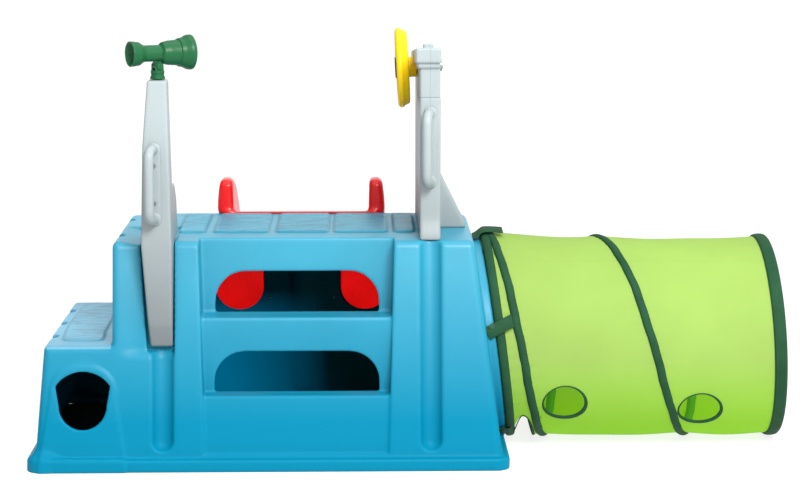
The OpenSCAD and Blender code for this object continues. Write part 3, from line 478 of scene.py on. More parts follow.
def base_look(name):
    """Plastic with painted shade that deepens its colour towards the floor, and wood grain on the planks and
    the step.

    The mesh's tone is painted shade that makes the grooves and the insides darker and less shiny. The step's
    top is painted paler and shinier, as painted light.
    Low on the left the inside glows a little with painted light, which stands for daylight coming through the
    wall.
    """
    made, shader, coords, surface_colour, skin_bump = plastic(name, BLUE, 0.42)
    tree = made.node_tree
    x, _, z = axes_of(coords)
    # painted shade: the colour deepens towards the floor, and the sheen is weaker there
    high = mapped(z, 0, 1, SHADE_FULL_Z, SHADE_GONE_Z)
    surface_colour = mix_colour(high, SHADED_BLUE, surface_colour)
    on_step = below(x, STEP_RIGHT)
    # painted light: the step's top is made paler and given more sheen, as if more light fell on it
    step_top = times(above(z, STEP_TOP_Z), on_step)
    surface_colour = mix_colour(times(step_top, 0.1), surface_colour, STEP_PAINTED_LIGHT)
    step_grain = times(above(z, STEP_GRAIN_Z), on_step)
    planks = maths("MAXIMUM", above(z, DECK_GRAIN_Z), step_grain)
    stretched = node(tree, "ShaderNodeMapping", Vector=coords, Scale=(20, 60, 1)).outputs["Vector"]
    grain = times(noise(stretched, 1, 4, 0.6), planks)
    # painted shade from the mesh: darker and less shiny grooves and insides
    shade_tone = assign(node(tree, "ShaderNodeAttribute"), attribute_name="shade_tone").outputs["Fac"]
    lines = times(mapped(grain, 0, 1, 0.5, 0.6), 0.28)
    light = times(shade_tone, maths("SUBTRACT", 1.0, lines))
    # painted light: a faint blue glow low on the left inside stands for daylight through the wall
    inside = mapped(shade_tone, 1, 0, 0.3, 0.6)
    through = times(mapped(x, 1, 0, -0.12, 0.12), mapped(z, 1, 0, 0.2, 0.29))
    glow = times(times(inside, through), above(x, -0.33))
    outside = mapped(shade_tone, 0, 1, 0.6, 0.9)
    sheen = maths("MAXIMUM", mapped(high, 0.05, 0.45), times(step_top, 0.5))
    feed(shader, Base_Color=mix_colour(light, BLACK, surface_colour),
         Normal=bump(grain, 0.01, 0.8, skin_bump), Specular_IOR_Level=times(outside, sheen),
         Emission_Color=INSIDE_GLOW_BLUE, Emission_Strength=glow)
    return made


def slide_look(name):
    """Thin red plastic. The lugs inside the base glow red with painted light, which stands for daylight
    coming through from behind.
    """
    made, shader, coords, _, _ = plastic(name, RED, 0.28, 0.06)
    _, y, z = axes_of(coords)
    upright_y = maths("ADD", y, times(z, DRAFT))
    # painted light: the lugs glow where they sit in the base's wall
    lit = times(below(upright_y, SLIDE_GLOW_Y), below(z, SLIDE_GLOW_TOP))
    through = mapped(noise(coords, 9), 0.6, 0.9, 0.3, 0.7)
    feed(shader, Specular_IOR_Level=0.4, Emission_Color=RED, Emission_Strength=times(lit, through))
    return made


def tower_look(name):
    """Plastic with painted shade that darkens it towards its foot, and a fine seam between the halves of the
    helm panel.
    """
    made, shader, coords, surface_colour, _ = plastic(name, GREY, 0.4)
    x, _, z = axes_of(coords)
    # painted shade: darker towards the foot
    surface_colour = mix_colour(mapped(z, 0, 1, 0.22, 0.72), shade(GREY, 0.42), surface_colour)
    seam = below(apart(x, HALF_X * MM), SEAM_HALF)
    feed(shader, Base_Color=mix_colour(seam, surface_colour, shade(GREY, 0.8)))
    return made


def steel(name):
    made, shader, coords = material(name)
    colour = mix_colour(noise(coords, 120), (0.34, 0.35, 0.37), (0.5, 0.51, 0.53))
    sheen = mapped(noise(coords, 300), 0.25, 0.45)
    feed(shader, Metallic=1.0, Base_Color=colour, Roughness=sheen)
    return made


def glass(name):
    made, shader, coords = material(name)
    colour = mix_colour(noise(coords, 40), (0.75, 0.85, 0.82), (0.82, 0.9, 0.88))
    sheen = mapped(noise(coords, 60), 0.03, 0.09)
    feed(shader, Transmission_Weight=0.9, IOR=1.45, Base_Color=colour, Roughness=sheen)
    return made


def cloth_look(name):
    """Woven cloth that lets some light through and glows faintly with painted light for more of it. Its map
    holds metres along and across the cloth.
    """
    made, shader, coords = material(name)
    along, across, _ = axes_of(places_on(made.node_tree, "UV"))
    z = axes_of(coords)[2]
    surface_colour = uneven(coords, LIME, 5, 4, 0.93, 1.04)
    # painted shade: a deeper, greener lime near the floor
    surface_colour = mix_colour(mapped(z, 0, 1, 0.03, 0.22), SHADED_LIME, surface_colour)
    threads = [maths("SINE", times(way, THREADS)) for way in (along, across)]
    crumple = bump(noise(coords, 16, 4, 0.55), 0.006, 0.16)
    weave = bump(times(*threads), 0.0002, 0.25, crumple)
    # painted light: the cloth glows faintly in its own colour, standing for daylight through it
    feed(shader, Base_Color=surface_colour, Roughness=mapped(noise(coords, 80), 0.6, 0.75),
         Normal=weave, Specular_IOR_Level=0.2, Emission_Color=surface_colour, Emission_Strength=0.26)
    tree = made.node_tree
    see = node(tree, "ShaderNodeBsdfTranslucent", Color=surface_colour)
    mixed = node(tree, "ShaderNodeMixShader", Fac=0.35)
    plug(mixed.inputs[1], shader.outputs[0])
    plug(mixed.inputs[2], see.outputs[0])
    feed(tree.nodes["Material Output"], Surface=mixed.outputs[0])
    return made


def tape_look(name, inner=None):
    """Woven tape with a stitch line near each edge. Its map holds metres along and a share across.

    Inside the tunnel it takes the inner colour and glows, painted light that stands for daylight coming
    through it.
    """
    made, shader, coords = material(name)
    along, across, _ = axes_of(places_on(made.node_tree, "UV"))
    on_line = below(apart(apart(across, 0.5), 0.34), 0.025)
    dash = below(maths("FRACT", times(along, STITCHES)), 0.62)
    stitch = times(on_line, dash)
    surface_colour = uneven(coords, TRIM, 25, 3, 0.85, 1.12)
    surface_colour = mix_colour(times(stitch, 0.35), surface_colour, shade(TRIM, 2.2))
    if inner is not None:
        # painted light: inside the tunnel the tape is paler and glows
        _, y, z = axes_of(coords)
        up = maths("SUBTRACT", z, TUNNEL_Z * MM)
        spread = maths("SQRT", maths("ADD", times(y, y), times(up, up)))
        within = below(spread, TAPE_INSIDE)
        surface_colour = mix_colour(within, surface_colour, inner)
        feed(shader, Emission_Color=inner, Emission_Strength=times(within, 0.5))
    woven = bump(maths("SINE", times(along, RIBS)), 0.0003, 0.3)
    sewn = bump(maths("SUBTRACT", 0.0, stitch), 0.0006, 0.6, woven)
    feed(shader, Base_Color=surface_colour, Roughness=mapped(noise(coords, 90), 0.6, 0.8),
         Normal=sewn, Specular_IOR_Level=0.15)
    return made


looks = {}
for name, make in (("base_blue", base_look), ("tower_grey", tower_look), ("slide_red", slide_look),
                   ("steel", steel), ("lens", glass), ("tunnel_lime", cloth_look), ("trim_green", tape_look)):
    looks[name] = make(name)
for name, colour, gloss in (("wheel_yellow", YELLOW, 0.32), ("cap_grey", DARK_GREY, 0.45),
                            ("scope_green", GREEN, 0.36), ("stud_green", TRIM, 0.5)):
    looks[name] = plastic(name, colour, gloss)[0]


def dress(obj, slot):
    """Gives a piece the look of a slot of the record."""
    obj.data.materials.clear()
    obj.data.materials.append(looks[slot])
    return obj


for row in frame["record"]["subparts"]:
    dress(nodes[row["node"]], row["material_slot"])


def soft_edges(name, width):
    """Rounds the edges of a CAD node."""
    data, add_on = nodes[name].data, nodes[name].modifiers.new
    assign(add_on("join", "WELD"), merge_threshold=1e-5)
    assign(add_on("flats", "DECIMATE"), decimate_type="DISSOLVE", angle_limit=radians(0.5))
    assign(add_on("round", "BEVEL"), width=width * MM, segments=2, limit_method="ANGLE",
           angle_limit=radians(35))
    assign(add_on("even", "WEIGHTED_NORMAL"), keep_sharp=True)
    data.polygons.foreach_set("use_smooth", np.ones(len(data.polygons), bool))


# Base

def wall_y(z):
    """Half the base's depth at a height."""
    return DECK_HALF + DRAFT * (DECK_H - z)


def tunnel_spread(y, z):
    """Distance from the tunnel's axis."""
    return np.sqrt(y * y + (z - TUNNEL_Z) ** 2)


def bucket(width):
    """Outline with a round bottom, spreading sides and a flat arc on top."""
    low_r, side, rise = 0.44 * width, 0.79 * width, 0.26 * width
    top_r = (width * width / 4 + rise * rise) / 2 / rise
    half = asin(width / 2 / top_r)
    low = arc((0, low_r), low_r, pi, 2 * pi, 19)
    high = arc((0, side + rise - top_r), top_r, pi / 2 - half, pi / 2 + half, 17)
    return np.concatenate([low, high])


def lug_outline(u, z, r):
    """Distance to the outline of a locating lug with a round foot."""
    stem = overlap(np.abs(u) - r, np.abs(z - (LUG_LOW + LUG_TOP) / 2) - (LUG_TOP - LUG_LOW) / 2)
    return np.minimum(np.hypot(u, z - LUG_LOW) - r, stem)


def ladder_space(x, y, z):
    """What is cut away in front of the two treads."""
    half_w = LADDER_HALF + LADDER_SPREAD * z / DECK_H
    riser = RISERS_Y[0] + RISER_LEAN * np.maximum(z - TREADS[0], 0) / (DECK_H - TREADS[0])
    high = round_and(y - riser, TREADS[0] - z, 7)
    middle = round_and(y - RISERS_Y[1], TREADS[1] - z, 6)
    front = round_and(y + wall_y(z) - FRONT_SINK, FRONT_LOW - z, 3)
    space = round_or(round_or(high, middle, 6), front, 6)
    return round_and(space, np.abs(x - LADDER_X) - half_w, 5)


def channel(x, y, z, at, side):
    """Half-round channel up a leaning wall."""
    lean = atan(DRAFT)
    s, c = sin(lean), cos(lean)
    dy = y - side * (wall_y(CHANNEL_LOW) + CHANNEL_OUT)
    dz = z - CHANNEL_LOW
    up = np.maximum(-side * s * dy + c * dz, 0)
    return np.sqrt((x - at) ** 2 + (dy + side * s * up) ** 2 + (dz - c * up) ** 2) - CHANNEL_R


def post_pocket(x, y, z):
    """Pocket for the leg of the lookout post."""
    share = np.minimum((z - POST_LOW) / (DECK_H - POST_LOW), 1)
    left = POST_LEFT_LOW + (POST_LEFT_DECK - POST_LEFT_LOW) * share
    return overlap(left - x, x - POST_RIGHT - 1, POST_LOW - 6 - z, y + wall_y(z) - POCKET_DEEP)


def base_block(x, y, z):
    """The outside of the base as a full block, without its raised pads."""
    right = DECK_RIGHT + (FOOT_RIGHT - DECK_RIGHT) * (DECK_H - z) / DECK_H
    left = STEP_LEFT + (STEP_LEFT - FOOT_LEFT) * (z - STEP_H) / STEP_H
    walls = (np.abs(y) - wall_y(z)) / hypot(1, DRAFT)
    upper = round_and(overlap(x - right, DECK_LEFT - x), z - DECK_H, DECK_EDGE_R)
    lower = overlap(round_and(left - x, z - STEP_H, STEP_EDGE_R), x - DECK_LEFT - 40)
    profile = round_or(upper, lower, STEP_EDGE_R)
    # the rear corners of the deck are rounder
    corner = ease((y - 60) / 80) * np.maximum(ease((-250 - x) / 50), ease((x - 370) / 40))
    block = round_and(profile, walls, DECK_EDGE_R + REAR_CORNER_R * corner * ease((z - 380) / 60))
    # round collar of the crawl opening
    collar = round_and(tunnel_spread(y, z) - COLLAR_R, x - right - COLLAR_OUT, 4)
    block = round_or(block, overlap(collar, COLLAR_IN - x), 4)
    block = cut(block, ladder_space(x, y, z), 4)
    for at, side in CHANNELS:
        block = cut(block, channel(x, y, z, at, side), 5)
    block = cut(block, post_pocket(x, y, z), 1.5)
    # shallow dent that leads up to the post
    dent = ease((x - DECK_LEFT - 3) / 60) * ease((z - POST_LOW + 26) / 26)
    block = block + DENT_DEEP * dent * ((x < POST_RIGHT) & (y < 0))
    # notches in the left edges
    for at, top, sideways in NOTCHES:
        for off in sideways:
            notch = round_and(np.hypot(x - at, y - off) - NOTCH_R, top - NOTCH_DEEP - z, 3)
            block = cut(block, notch, 3)
    rim = round_and(rounded_box(x, y, RIM_HALF_X, RIM_HALF_Y, RIM_CORNER), z - RIM_H, 5)
    return round_or(block, rim, 6 + 22 * ease((-430 - x) / 60))


def plank_pads(x, y):
    """Distance to the nearest plank of the deck."""
    pads = [rounded_box(x - (a + b) / 2, y - PLANK_Y, (b - a) / 2, PLANK_HALF, PLANK_R) for a, b in PLANKS]
    return np.min(pads, 0)


def step_pad(x, y):
    """Distance to the step's raised pad, whose edge beside the deck is hollow."""
    u = x - STEP_PAD_X + STEP_PAD_HOLLOW * (1 - (y / (STEP_PAD_HALF_Y - STEP_PAD_Y)) ** 2)
    return rounded_box(u, y - STEP_PAD_Y, STEP_PAD_HALF_X, STEP_PAD_HALF_Y, STEP_PAD_R)


def pad_height(pad, z, top):
    """How far a pad rises above a top, with a soft edge."""
    return PAD_RISE * ease((1.5 - pad) / 4) * ease((z - top + 10) / 8)


def raised(block, x, y, z):
    """The block with its planks, the step's pad and the arch around the step's hole."""
    block = block - pad_height(plank_pads(x, y), z, DECK_H)
    block = block - pad_height(step_pad(x, y), z, STEP_H) * (z < STEP_H + 30)
    arch_half = ARCH_HALF + np.maximum(150 - z, 0) * 0.17
    arch = rounded_box(x - STEP_HOLE_X, z - ARCH_Z, arch_half, ARCH_HALF_H, ARCH_R)
    return block - ARCH_RISE * ease((2 - arch) / 5) * (y < 0)


def base_values(x, y, z):
    """The hollow base with its openings."""
    plain = base_block(x, y, z)
    block = raised(plain, x, y, z)
    shell = overlap(block, -plain - WALL, -z - 1)
    w, low, high = WINDOW_HALF, WINDOW_LOW, WINDOW_HIGH
    window = soften([(-w, low), (w, low), (w, high), (-w, high)], (4, 4, WINDOW_R, WINDOW_R), 9)
    for tread in TREADS:
        hole = outline(x - LADDER_X, z - tread, window)
        shell = cut(shell, overlap(hole, y + 120, -340 - y), 2.5)
    hole = outline(x - STEP_HOLE_X, z - STEP_HOLE_LOW, bucket(STEP_HOLE_W))
    shell = cut(shell, overlap(hole, y + 200), 2.5)
    shell = cut(shell, overlap(tunnel_spread(y, z) - CRAWL_R, COLLAR_IN + 20 - x), 2.5)
    for side in (-1, 1):
        lug = lug_outline(x - LADDER_X - side * LUG_X, z, LUG_R + LUG_PLAY)
        shell = cut(shell, overlap(lug, 150 - y), 2.0)
    return shell.astype(np.float32)


def groove(pad):
    """A line of painted shade along the edge of a raised pad."""
    return np.exp(-((pad - 2) / 2.5) ** 2)


def base_painted_shade(x, y, z):
    """Painted shade: darker grooves around the planks and the step's pad, and darker insides."""
    depth = -raised(base_block(x, y, z), x, y, z)
    on_step = (np.abs(z - STEP_H) < 6) & (x < DECK_LEFT - 8)
    grooves = groove(plank_pads(x, y)) * (z > DECK_H - 4) + groove(step_pad(x, y)) * on_step
    return 1 - INSIDE_SHADE * ease((depth - 3) / 4) - GROOVE_SHADE * grooves


BASE_BOX = (-532, -349, -6), (532, 349, 496)
moulded("base_body", base_values, BASE_BOX, 3.5, 0.3, "base_blue", ("base_shell",), shade_tone=base_painted_shade)


# Towers

def post_values(x, y, z):
    """The lookout post from its side view and its front view."""
    leg = wall_y(POST_LOW)
    profile = [(-leg + 7.5, POST_LOW), (-leg + 17.6, POST_LOW), (-DECK_HALF + 17.6, DECK_H), (-105, DECK_H),
               (-112, DECK_H + 80), (-150, DECK_H + 120), (-206, DECK_H + 122), (-212, POST_TOP),
               (POST_LEAN - POST_FRONT, POST_TOP), (-POST_FRONT, DECK_H),
               (-wall_y(POST_LOW + 50) - 15.6, POST_LOW + 50)]
    side = outline(y, z, soften(profile, (8, 0, 0, 8, 30, 24, 10, 6, 6, 60, 34)))
    face = [(POST_LEFT_LOW, POST_LOW), (-207, POST_LOW), (POST_RIGHT, DECK_H), (-211.5, POST_TOP),
            (-253, POST_TOP), (-265, DECK_H + 211), (POST_LEFT_DECK, DECK_H)]
    return round_and(side, outline(x, z, soften(face, (5, 5, 90, 5, 5, 120, 90))), 5)


def helm_values(x, y, z):
    """The helm panel with its flared foot and the brace behind it."""
    foot = 14 * ease((DECK_H + 63 - z) / 63) ** 1.5
    panel = round_and(np.abs(y) - HELM_D - foot, np.abs(x - HALF_X) - HELM_T / 2, 5)
    out = x - HELM_X - HELM_T
    slope = (out * BRACE_H + (z - DECK_H - 9) * BRACE_L - BRACE_H * BRACE_L) / hypot(BRACE_H, BRACE_L)
    wedge = round_and(slope, out - BRACE_L, 3)
    brace = round_and(overlap(wedge, HALF_X - x), np.abs(y) - BRACE_HALF, 6)
    top = z - SEAM + HEAD_FALL * y / HELM_D - 2
    return overlap(round_or(panel, brace, 6), top, DECK_H - z)


def head_slab(x, y, longer, shift, half, r):
    """Plan of a layer of the head, longer than the panel and shifted towards the wheel."""
    return round_and(np.abs(y) - HELM_D - longer, np.abs(x - HALF_X + shift) - half, r)


def head_values(x, y, z):
    """The helm head, whose top falls towards the slide."""
    up = z - SEAM + HEAD_FALL * y / HELM_D
    body = overlap(head_slab(x, y, 1, 0.5, 22, 5), np.abs(up - 49) - 49)
    neck = round_and(head_slab(x, y, 8, 3, 24.5, 3), np.abs(up - 75) - 12, 6)
    cap = round_and(head_slab(x, y, 15, 4.5, 27, 3), np.abs(up - HEAD_H + 16) - 16, 3)
    head = round_or(round_or(body, neck, 3), cap, 2)
    knob = round_and(rounded_box(x - HELM_X - 19, y + HELM_D - 47, 11, 11, 4), np.abs(up - HEAD_H) - 10, 3)
    head = round_or(head, knob, 2)
    # seat of the wheel's hub and the bosses of its axle
    along = -cos(WHEEL_LEAN) * (x - WHEEL_X) - sin(WHEEL_LEAN) * (z - WHEEL_Z)
    off = np.sqrt(np.maximum((x - WHEEL_X) ** 2 + y * y + (z - WHEEL_Z) ** 2 - along ** 2, 0))
    head = cut(head, overlap(off - 25, -32 - along), 2)
    head = np.minimum(head, overlap(off - 19, np.abs(along + 37) - 5))
    head = np.minimum(head, round_and(off - 17, np.abs(along + 74) - 6, 2))
    return overlap(head, AXLE_HOLE_R - off)


def grip_values(x, y, z):
    """Bar handle on a long plate. The bar is turned a little."""
    across = x * cos(GRIP_TURN) - y * sin(GRIP_TURN)
    away = y * cos(GRIP_TURN) + x * sin(GRIP_TURN)
    bar = np.hypot(across, rounded_box(away, z, GRIP_OUT, GRIP_HALF, GRIP_BEND)) - BAR_R
    plate = round_and(rounded_box(x, z, 14, 89, 14), np.abs(y + 2) - 2, 1.5)
    return overlap(round_or(bar, plate, 5), y)


def grip(name, x, y, z, lean):
    """A grip that leans with the face it sits on."""
    place = Matrix.Translation((x * MM, y * MM, z * MM)) @ Matrix.Rotation(-lean, 4, "X")
    box = (-32, -58, -94), (20, 6, 94)
    moulded("bar_" + name, grip_values, box, 2.0, 0.6, "tower_grey", (name,), place=place)


POST_BOX = (-278, -284, 250), (-198, -98, 842)
HELM_BOX = (318, -232, 476), (450, 232, 800)
HEAD_BOX = (309, -222, 748), (384, 222, 912)
moulded("post_body", post_values, POST_BOX, 2.5, 0.5, "tower_grey", ("post_outer", "post_inner"))
moulded("helm_panel", helm_values, HELM_BOX, 3.0, 0.5, "tower_grey", ("helm_inner", "helm_outer"))
moulded("head_body", head_values, HEAD_BOX, 2.5, 0.5, "tower_grey", ("helm_head",))
post_slope = POST_LEAN / (POST_TOP - DECK_H)
post_grip_y = post_slope * (GRIP_POST_Z - DECK_H) - POST_FRONT - GRIP_PLAY
grip("post_grip", POST_X - 4, post_grip_y, GRIP_POST_Z, atan(post_slope))
grip("helm_grip", HALF_X, -HELM_D - GRIP_PLAY, GRIP_HELM_Z, 0.0)


# Slide

def bed_z(y):
    """Height of the slide's bed, which falls in half a wave."""
    turn = np.cos(np.pi * (np.clip(y, DECK_HALF, SLIDE_END) - DECK_HALF) / SLIDE_RUN)
    return SLIDE_FOOT + (BED_TOP - SLIDE_FOOT) * (1 + turn) / 2


def rail_outline():
    """Side view of a rail, as places along Y and heights."""
    ys = DECK_HALF + SLIDE_RUN * np.arange(1, BED_PARTS + 1) / BED_PARTS
    beds = bed_z(ys)
    tops = beds + RAIL_H - 5 - 24 * (ys - DECK_HALF) / SLIDE_RUN
    start = [(DECK_HALF - 24, DECK_H), (DECK_HALF + 2, DECK_H), (wall_y(DECK_H - 56) + 1, DECK_H - 56)]
    under = zip(ys, np.maximum(beds - SLIDE_FOOT, 0))
    foot = [(SLIDE_END + 60, 0), (SLIDE_END + 66, 37), (SLIDE_END + 56, SLIDE_FOOT + 30)]
    over = zip(ys[:0:-1], tops[:0:-1])
    end = [(DECK_HALF + 20, DECK_H + RAIL_H + 2), (DECK_HALF - 14, DECK_H + RAIL_H),
           (DECK_HALF - 24, DECK_H + RAIL_H - 12)]
    return np.array([*start, *under, *foot, *over, *end])


def slide_values(x, y, z):
    """Two rails, a bed, the apron on the base's wall and the lugs that reach through it."""
    u = np.abs(x - LADDER_X)
    lip = np.maximum(y - SLIDE_END - 20, 0)
    bed = bed_z(y) - lip * lip / 30
    up = np.clip((z - bed) / RAIL_H, 0, 1)
    sides = overlap(u - SLIDE_W / 2 + 8 * up * up, SLIDE_W / 2 - RAIL_T + 2 * up - u)
    rails = round_and(outline(y, z, rail_outline()), sides, 11)
    # near the top the bed lies lower
    bed = bed - 8 * ease((y - 205) / 30) * (1 - ease((y - 420) / 200))
    sheet = overlap(z - bed, bed - BED_T - z) * 0.85
    floor = np.where(y < DECK_HALF, DECK_H - z, -z)
    chute = overlap(sheet, u - SLIDE_W / 2 + 20, DECK_HALF - 28 - y, y - SLIDE_END - 61, floor)
    solid = round_or(rails, chute, 9)
    wall = wall_y(z)
    apron = overlap(u - SLIDE_W / 2 + 3, np.abs(z - 347) - 115, wall + 1 - y, y - wall - 9)
    solid = round_or(solid, apron, 4)
    lug = round_and(lug_outline(u - LUG_X, z, LUG_R), overlap(wall - 16 - y, y - wall - 6), 5)
    return np.minimum(solid, lug)


SLIDE_BOX = (-146, 190, -6), (264, 1198, 572)
moulded("slide_body", slide_values, SLIDE_BOX, 4.0, 0.5, "slide_red", ("slide",))


# Steering wheel

def wheel_values(x, y, z):
    """A stepped rim, three spokes and a hub whose bore is wider in front."""
    r = np.hypot(x, y)
    rim = [(65, -13.5), (80, -13.5), (85, -2), (89, 2), (89, 9.5), (83, 13.5), (67, 13.5)]
    wheel = outline(r, z, soften(rim, (6, 5, 2, 2, 5, 3, 6)))
    for k in range(3):
        t = radians(60 + 120 * k)
        along = x * cos(t) + y * sin(t)
        across = y * cos(t) - x * sin(t)
        spoke = round_and(np.abs(across) - 11 - 3 * ease((along - 50) / 25), np.abs(z + 0.5) - 6.5, 4)
        spoke = overlap(spoke, 18 - along, along - 74)
        wheel = round_or(wheel, spoke, 5)
    neck = overlap(r - 22.5, np.abs(z + 16.8) - 14.8)
    hub = np.minimum(round_and(r - 24, np.abs(z - 2.5) - 11.5, 3), neck)
    bore = np.where(z < 4, BORE_R, CAP_BORE_R)
    return overlap(round_or(wheel, hub, 4), bore - r)


WHEEL_BOX = (-96, -96, -36), (96, 96, 18)
wheel_at = Matrix.Translation((WHEEL_X * MM, 0, WHEEL_Z * MM))
wheel_at = wheel_at @ Matrix.Rotation(-radians(90) - WHEEL_LEAN, 4, "Y")
moulded("wheel_body", wheel_values, WHEEL_BOX, 1.8, 0.6, "wheel_yellow", ("steering_wheel",), "wheel",
        wheel_at)

for name, width in (("scope_collar", 1.0), ("scope_yoke", 1.2), ("scope_pin", 1.0), ("scope_barrel", 0.8),
                    ("wheel_cap", 1.2), ("axle_nut", 0.8)):
    soft_edges(name, width)


# Telescope: places along its axis and radii

SCOPE_AT = Matrix.Translation((-0.232, -0.237, 0.889)) @ Matrix.Rotation(radians(28), 4, "Z")
LATHE_PARTS = 72


def lathe(name, profile, radii, stands_for):
    """A turned piece about the telescope's axis from a closed profile."""
    along, r = soften(profile, radii, 4).T
    t = np.arange(LATHE_PARTS)[:, None] * 2 * pi / LATHE_PARTS
    points = np.stack(np.broadcast_arrays(along, r * np.cos(t), r * np.sin(t)), -1)
    obj = mesh_object(name, points.reshape(-1, 3), ring_faces(LATHE_PARTS, len(r)), "scope", SCOPE_AT)
    dress(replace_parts(obj, stands_for), "scope_green")


EYECUP = [(-63, 24), (-63, 27), (-56, 26.5), (-43, 25), (-34, 19), (-30, 17.8), (-30, 13), (-36, 13),
          (-45, 15)]
HOOD = [(5, 17.8), (10, 23), (24, 26), (46, 27.5), (47.5, 30), (56, 31.5), (66, 36.5), (71, 37.5),
        (77, 37.5), (77, 34.5), (60, 29), (53, 25.6), (24, 25.2), (12, 17.8)]
lathe("eyecup_body", EYECUP, (0.8, 1, 4, 6, 4, 0.4, 0.4, 1, 4), "scope_eyecup")
lathe("hood_body", HOOD, (0.4, 4, 10, 0.6, 0.8, 5, 5, 3, 1.2, 1, 3, 2, 2, 0.4), "scope_hood")


# Tunnel

def turn_x(a):
    """Place of the spiral sleeve along the tunnel."""
    return HEM_X + TUNNEL_L * np.interp(a, TURN_ANGLES, TURN_SHARES)


def ring_x(x, lean, a):
    """Place of a leaning hoop along the tunnel."""
    return x - tan(lean) * CLOTH_R * np.cos(np.radians(a))


def spot(a, x, r):
    """A point of the tunnel from its angle, place along and radius."""
    t = np.radians(a)
    return np.stack(np.broadcast_arrays(x, -r * np.sin(t), TUNNEL_Z + r * np.cos(t)), -1)


def outward(a):
    return spot(a, 0.0, 1.0) - (0, 0, TUNNEL_Z)


def hem_rise(a):
    """The hem stands a little above a true circle at its top."""
    return HEM_RISE * np.maximum(np.cos(np.radians(a)), 0) ** 3


def cloth_radius(a, x):
    """Radius of the cloth, which sags between the hoops and puckers beside them."""
    t = np.radians(a)
    hem = ring_x(HEM_X, TILT, a)
    first = np.where(a > TURN_FROM, turn_x(a), hem)
    second = np.where(a + 360 < TURN_TO, turn_x(a + 360), first)
    last = ring_x(END_X, END_TILT, a)
    r = CLOTH_R + 0.7 * np.sin(3 * t + x / 61) * np.sin(x / 47 + 2 * np.sin(t)) + 0.4 * np.sin(7 * t - x / 33)
    for start, end in ((hem, first), (first, second), (second, last)):
        span = np.maximum(end - start, 1e-6)
        u = np.clip((x - start) / span, 0, 1)
        r = r - CLOTH_SAG * np.cos(t) * np.sin(np.pi * u) * np.minimum(span / 200, 1)
    for hoop in (hem, first, second, last):
        near = np.exp(-((x - hoop) / 24) ** 2)
        r = r + PUCKER * near * np.sin(60 * t + 4 * np.sin(5 * t) + 2 * np.sin(x / 30))
    r = r + hem_rise(a) * np.exp(-np.maximum((x - hem) / 170, 0) ** 2)
    return r + 0.8 * np.exp(-(np.radians(a - SEAM_ANGLE) * CLOTH_R / 3) ** 2)


def cloth_grid():
    """Angles and places of the cloth's grid, from hem to end. Row SKIRT_ROWS lies on the split."""
    a = np.arange(AROUND) * 360 / AROUND
    start = ring_x(HEM_X, TILT, a) - CLOTH_EDGE
    end = ring_x(END_X, END_TILT, a) + CLOTH_EDGE
    u = np.arange(SKIRT_ROWS) / SKIRT_ROWS
    v = np.arange(CLOTH_ROWS + 1) / CLOTH_ROWS
    skirt = start + (SPLIT_X - start) * u[:, None]
    cloth = SPLIT_X + (end - SPLIT_X) * v[:, None]
    x = np.concatenate([skirt, cloth])
    return np.broadcast_to(a, x.shape).copy(), x


def open_hole(a, x, gone, angle, at, half, spread):
    """Bends the grid around an oval hole and marks its cells. Half its size is given along and around.

    Returns the hole's middle and its reach around the cloth, to lower X and to higher X.
    """
    rows, columns = x.shape
    column = round(angle * AROUND / 360)
    row = int(np.argmin(np.abs(x[:, column] - at)))
    arc_length = radians(360 / AROUND) * CLOTH_R
    rows_in = int(np.argmin(np.abs(x[row:, column] - at - half[0])))
    columns_in = round(half[1] / arc_length)
    i = np.arange(rows)[:, None] - row
    j = np.arange(columns)[None, :] - column
    u, v = i / rows_in, j / columns_in
    far = np.maximum(np.abs(u), np.abs(v))
    bend = 1 - ease((far - 1) / spread)
    share = 1 + bend * (far / np.maximum(np.hypot(u, v), 1e-9) - 1)
    middle_a, middle_x = a[row, column], x[row, column]
    low_x = middle_x - x[row - rows_in, column]
    high_x = x[row + rows_in, column] - middle_x
    x[:] = np.where(bend > 0, middle_x + (x - middle_x) * share, x)
    a[:] = np.where(bend > 0, middle_a + (a - middle_a) * share, a)
    gone |= np.maximum(np.abs(i[:-1] + 0.5) / rows_in, np.abs(j + 0.5) / columns_in) < 1
    return middle_a, middle_x, columns_in * arc_length, low_x, high_x


def give_map(obj, places):
    """A map for the materials from one pair of numbers per face corner."""
    layer = obj.data.uv_layers.new(name="metres")
    layer.data.foreach_set("uv", np.asarray(places, float).ravel())


def cloth_piece(name, a, x, first, last, gone, stands_for):
    """One sheet of the tunnel's cloth, from a range of grid rows, and the area of its flat cut."""
    points = spot(a, x, cloth_radius(a % 360, x)).reshape(-1, 3)
    i, j = np.nonzero(~gone[first:last])
    i = i + first
    k = (j + 1) % AROUND
    faces = np.stack([i * AROUND + j, (i + 1) * AROUND + j, (i + 1) * AROUND + k, i * AROUND + k], 1)
    along = np.radians(a.ravel()) * CLOTH_R
    metres = np.stack([along[faces], x.ravel()[faces]], -1) * MM
    metres[:, 2:, 0] += np.where(k == 0, GIRTH_M, 0)[:, None]
    used, faces = np.unique(faces, return_inverse=True)
    obj = mesh_object(name, points[used], faces.reshape(-1, 4), "base")
    give_map(obj, metres)
    one = metres[:, 2] - metres[:, 0]
    other = metres[:, 3] - metres[:, 1]
    flat_area = np.abs(one[:, 0] * other[:, 1] - one[:, 1] * other[:, 0]).sum() / 2
    return dress(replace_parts(obj, stands_for), "tunnel_lime"), float(flat_area)


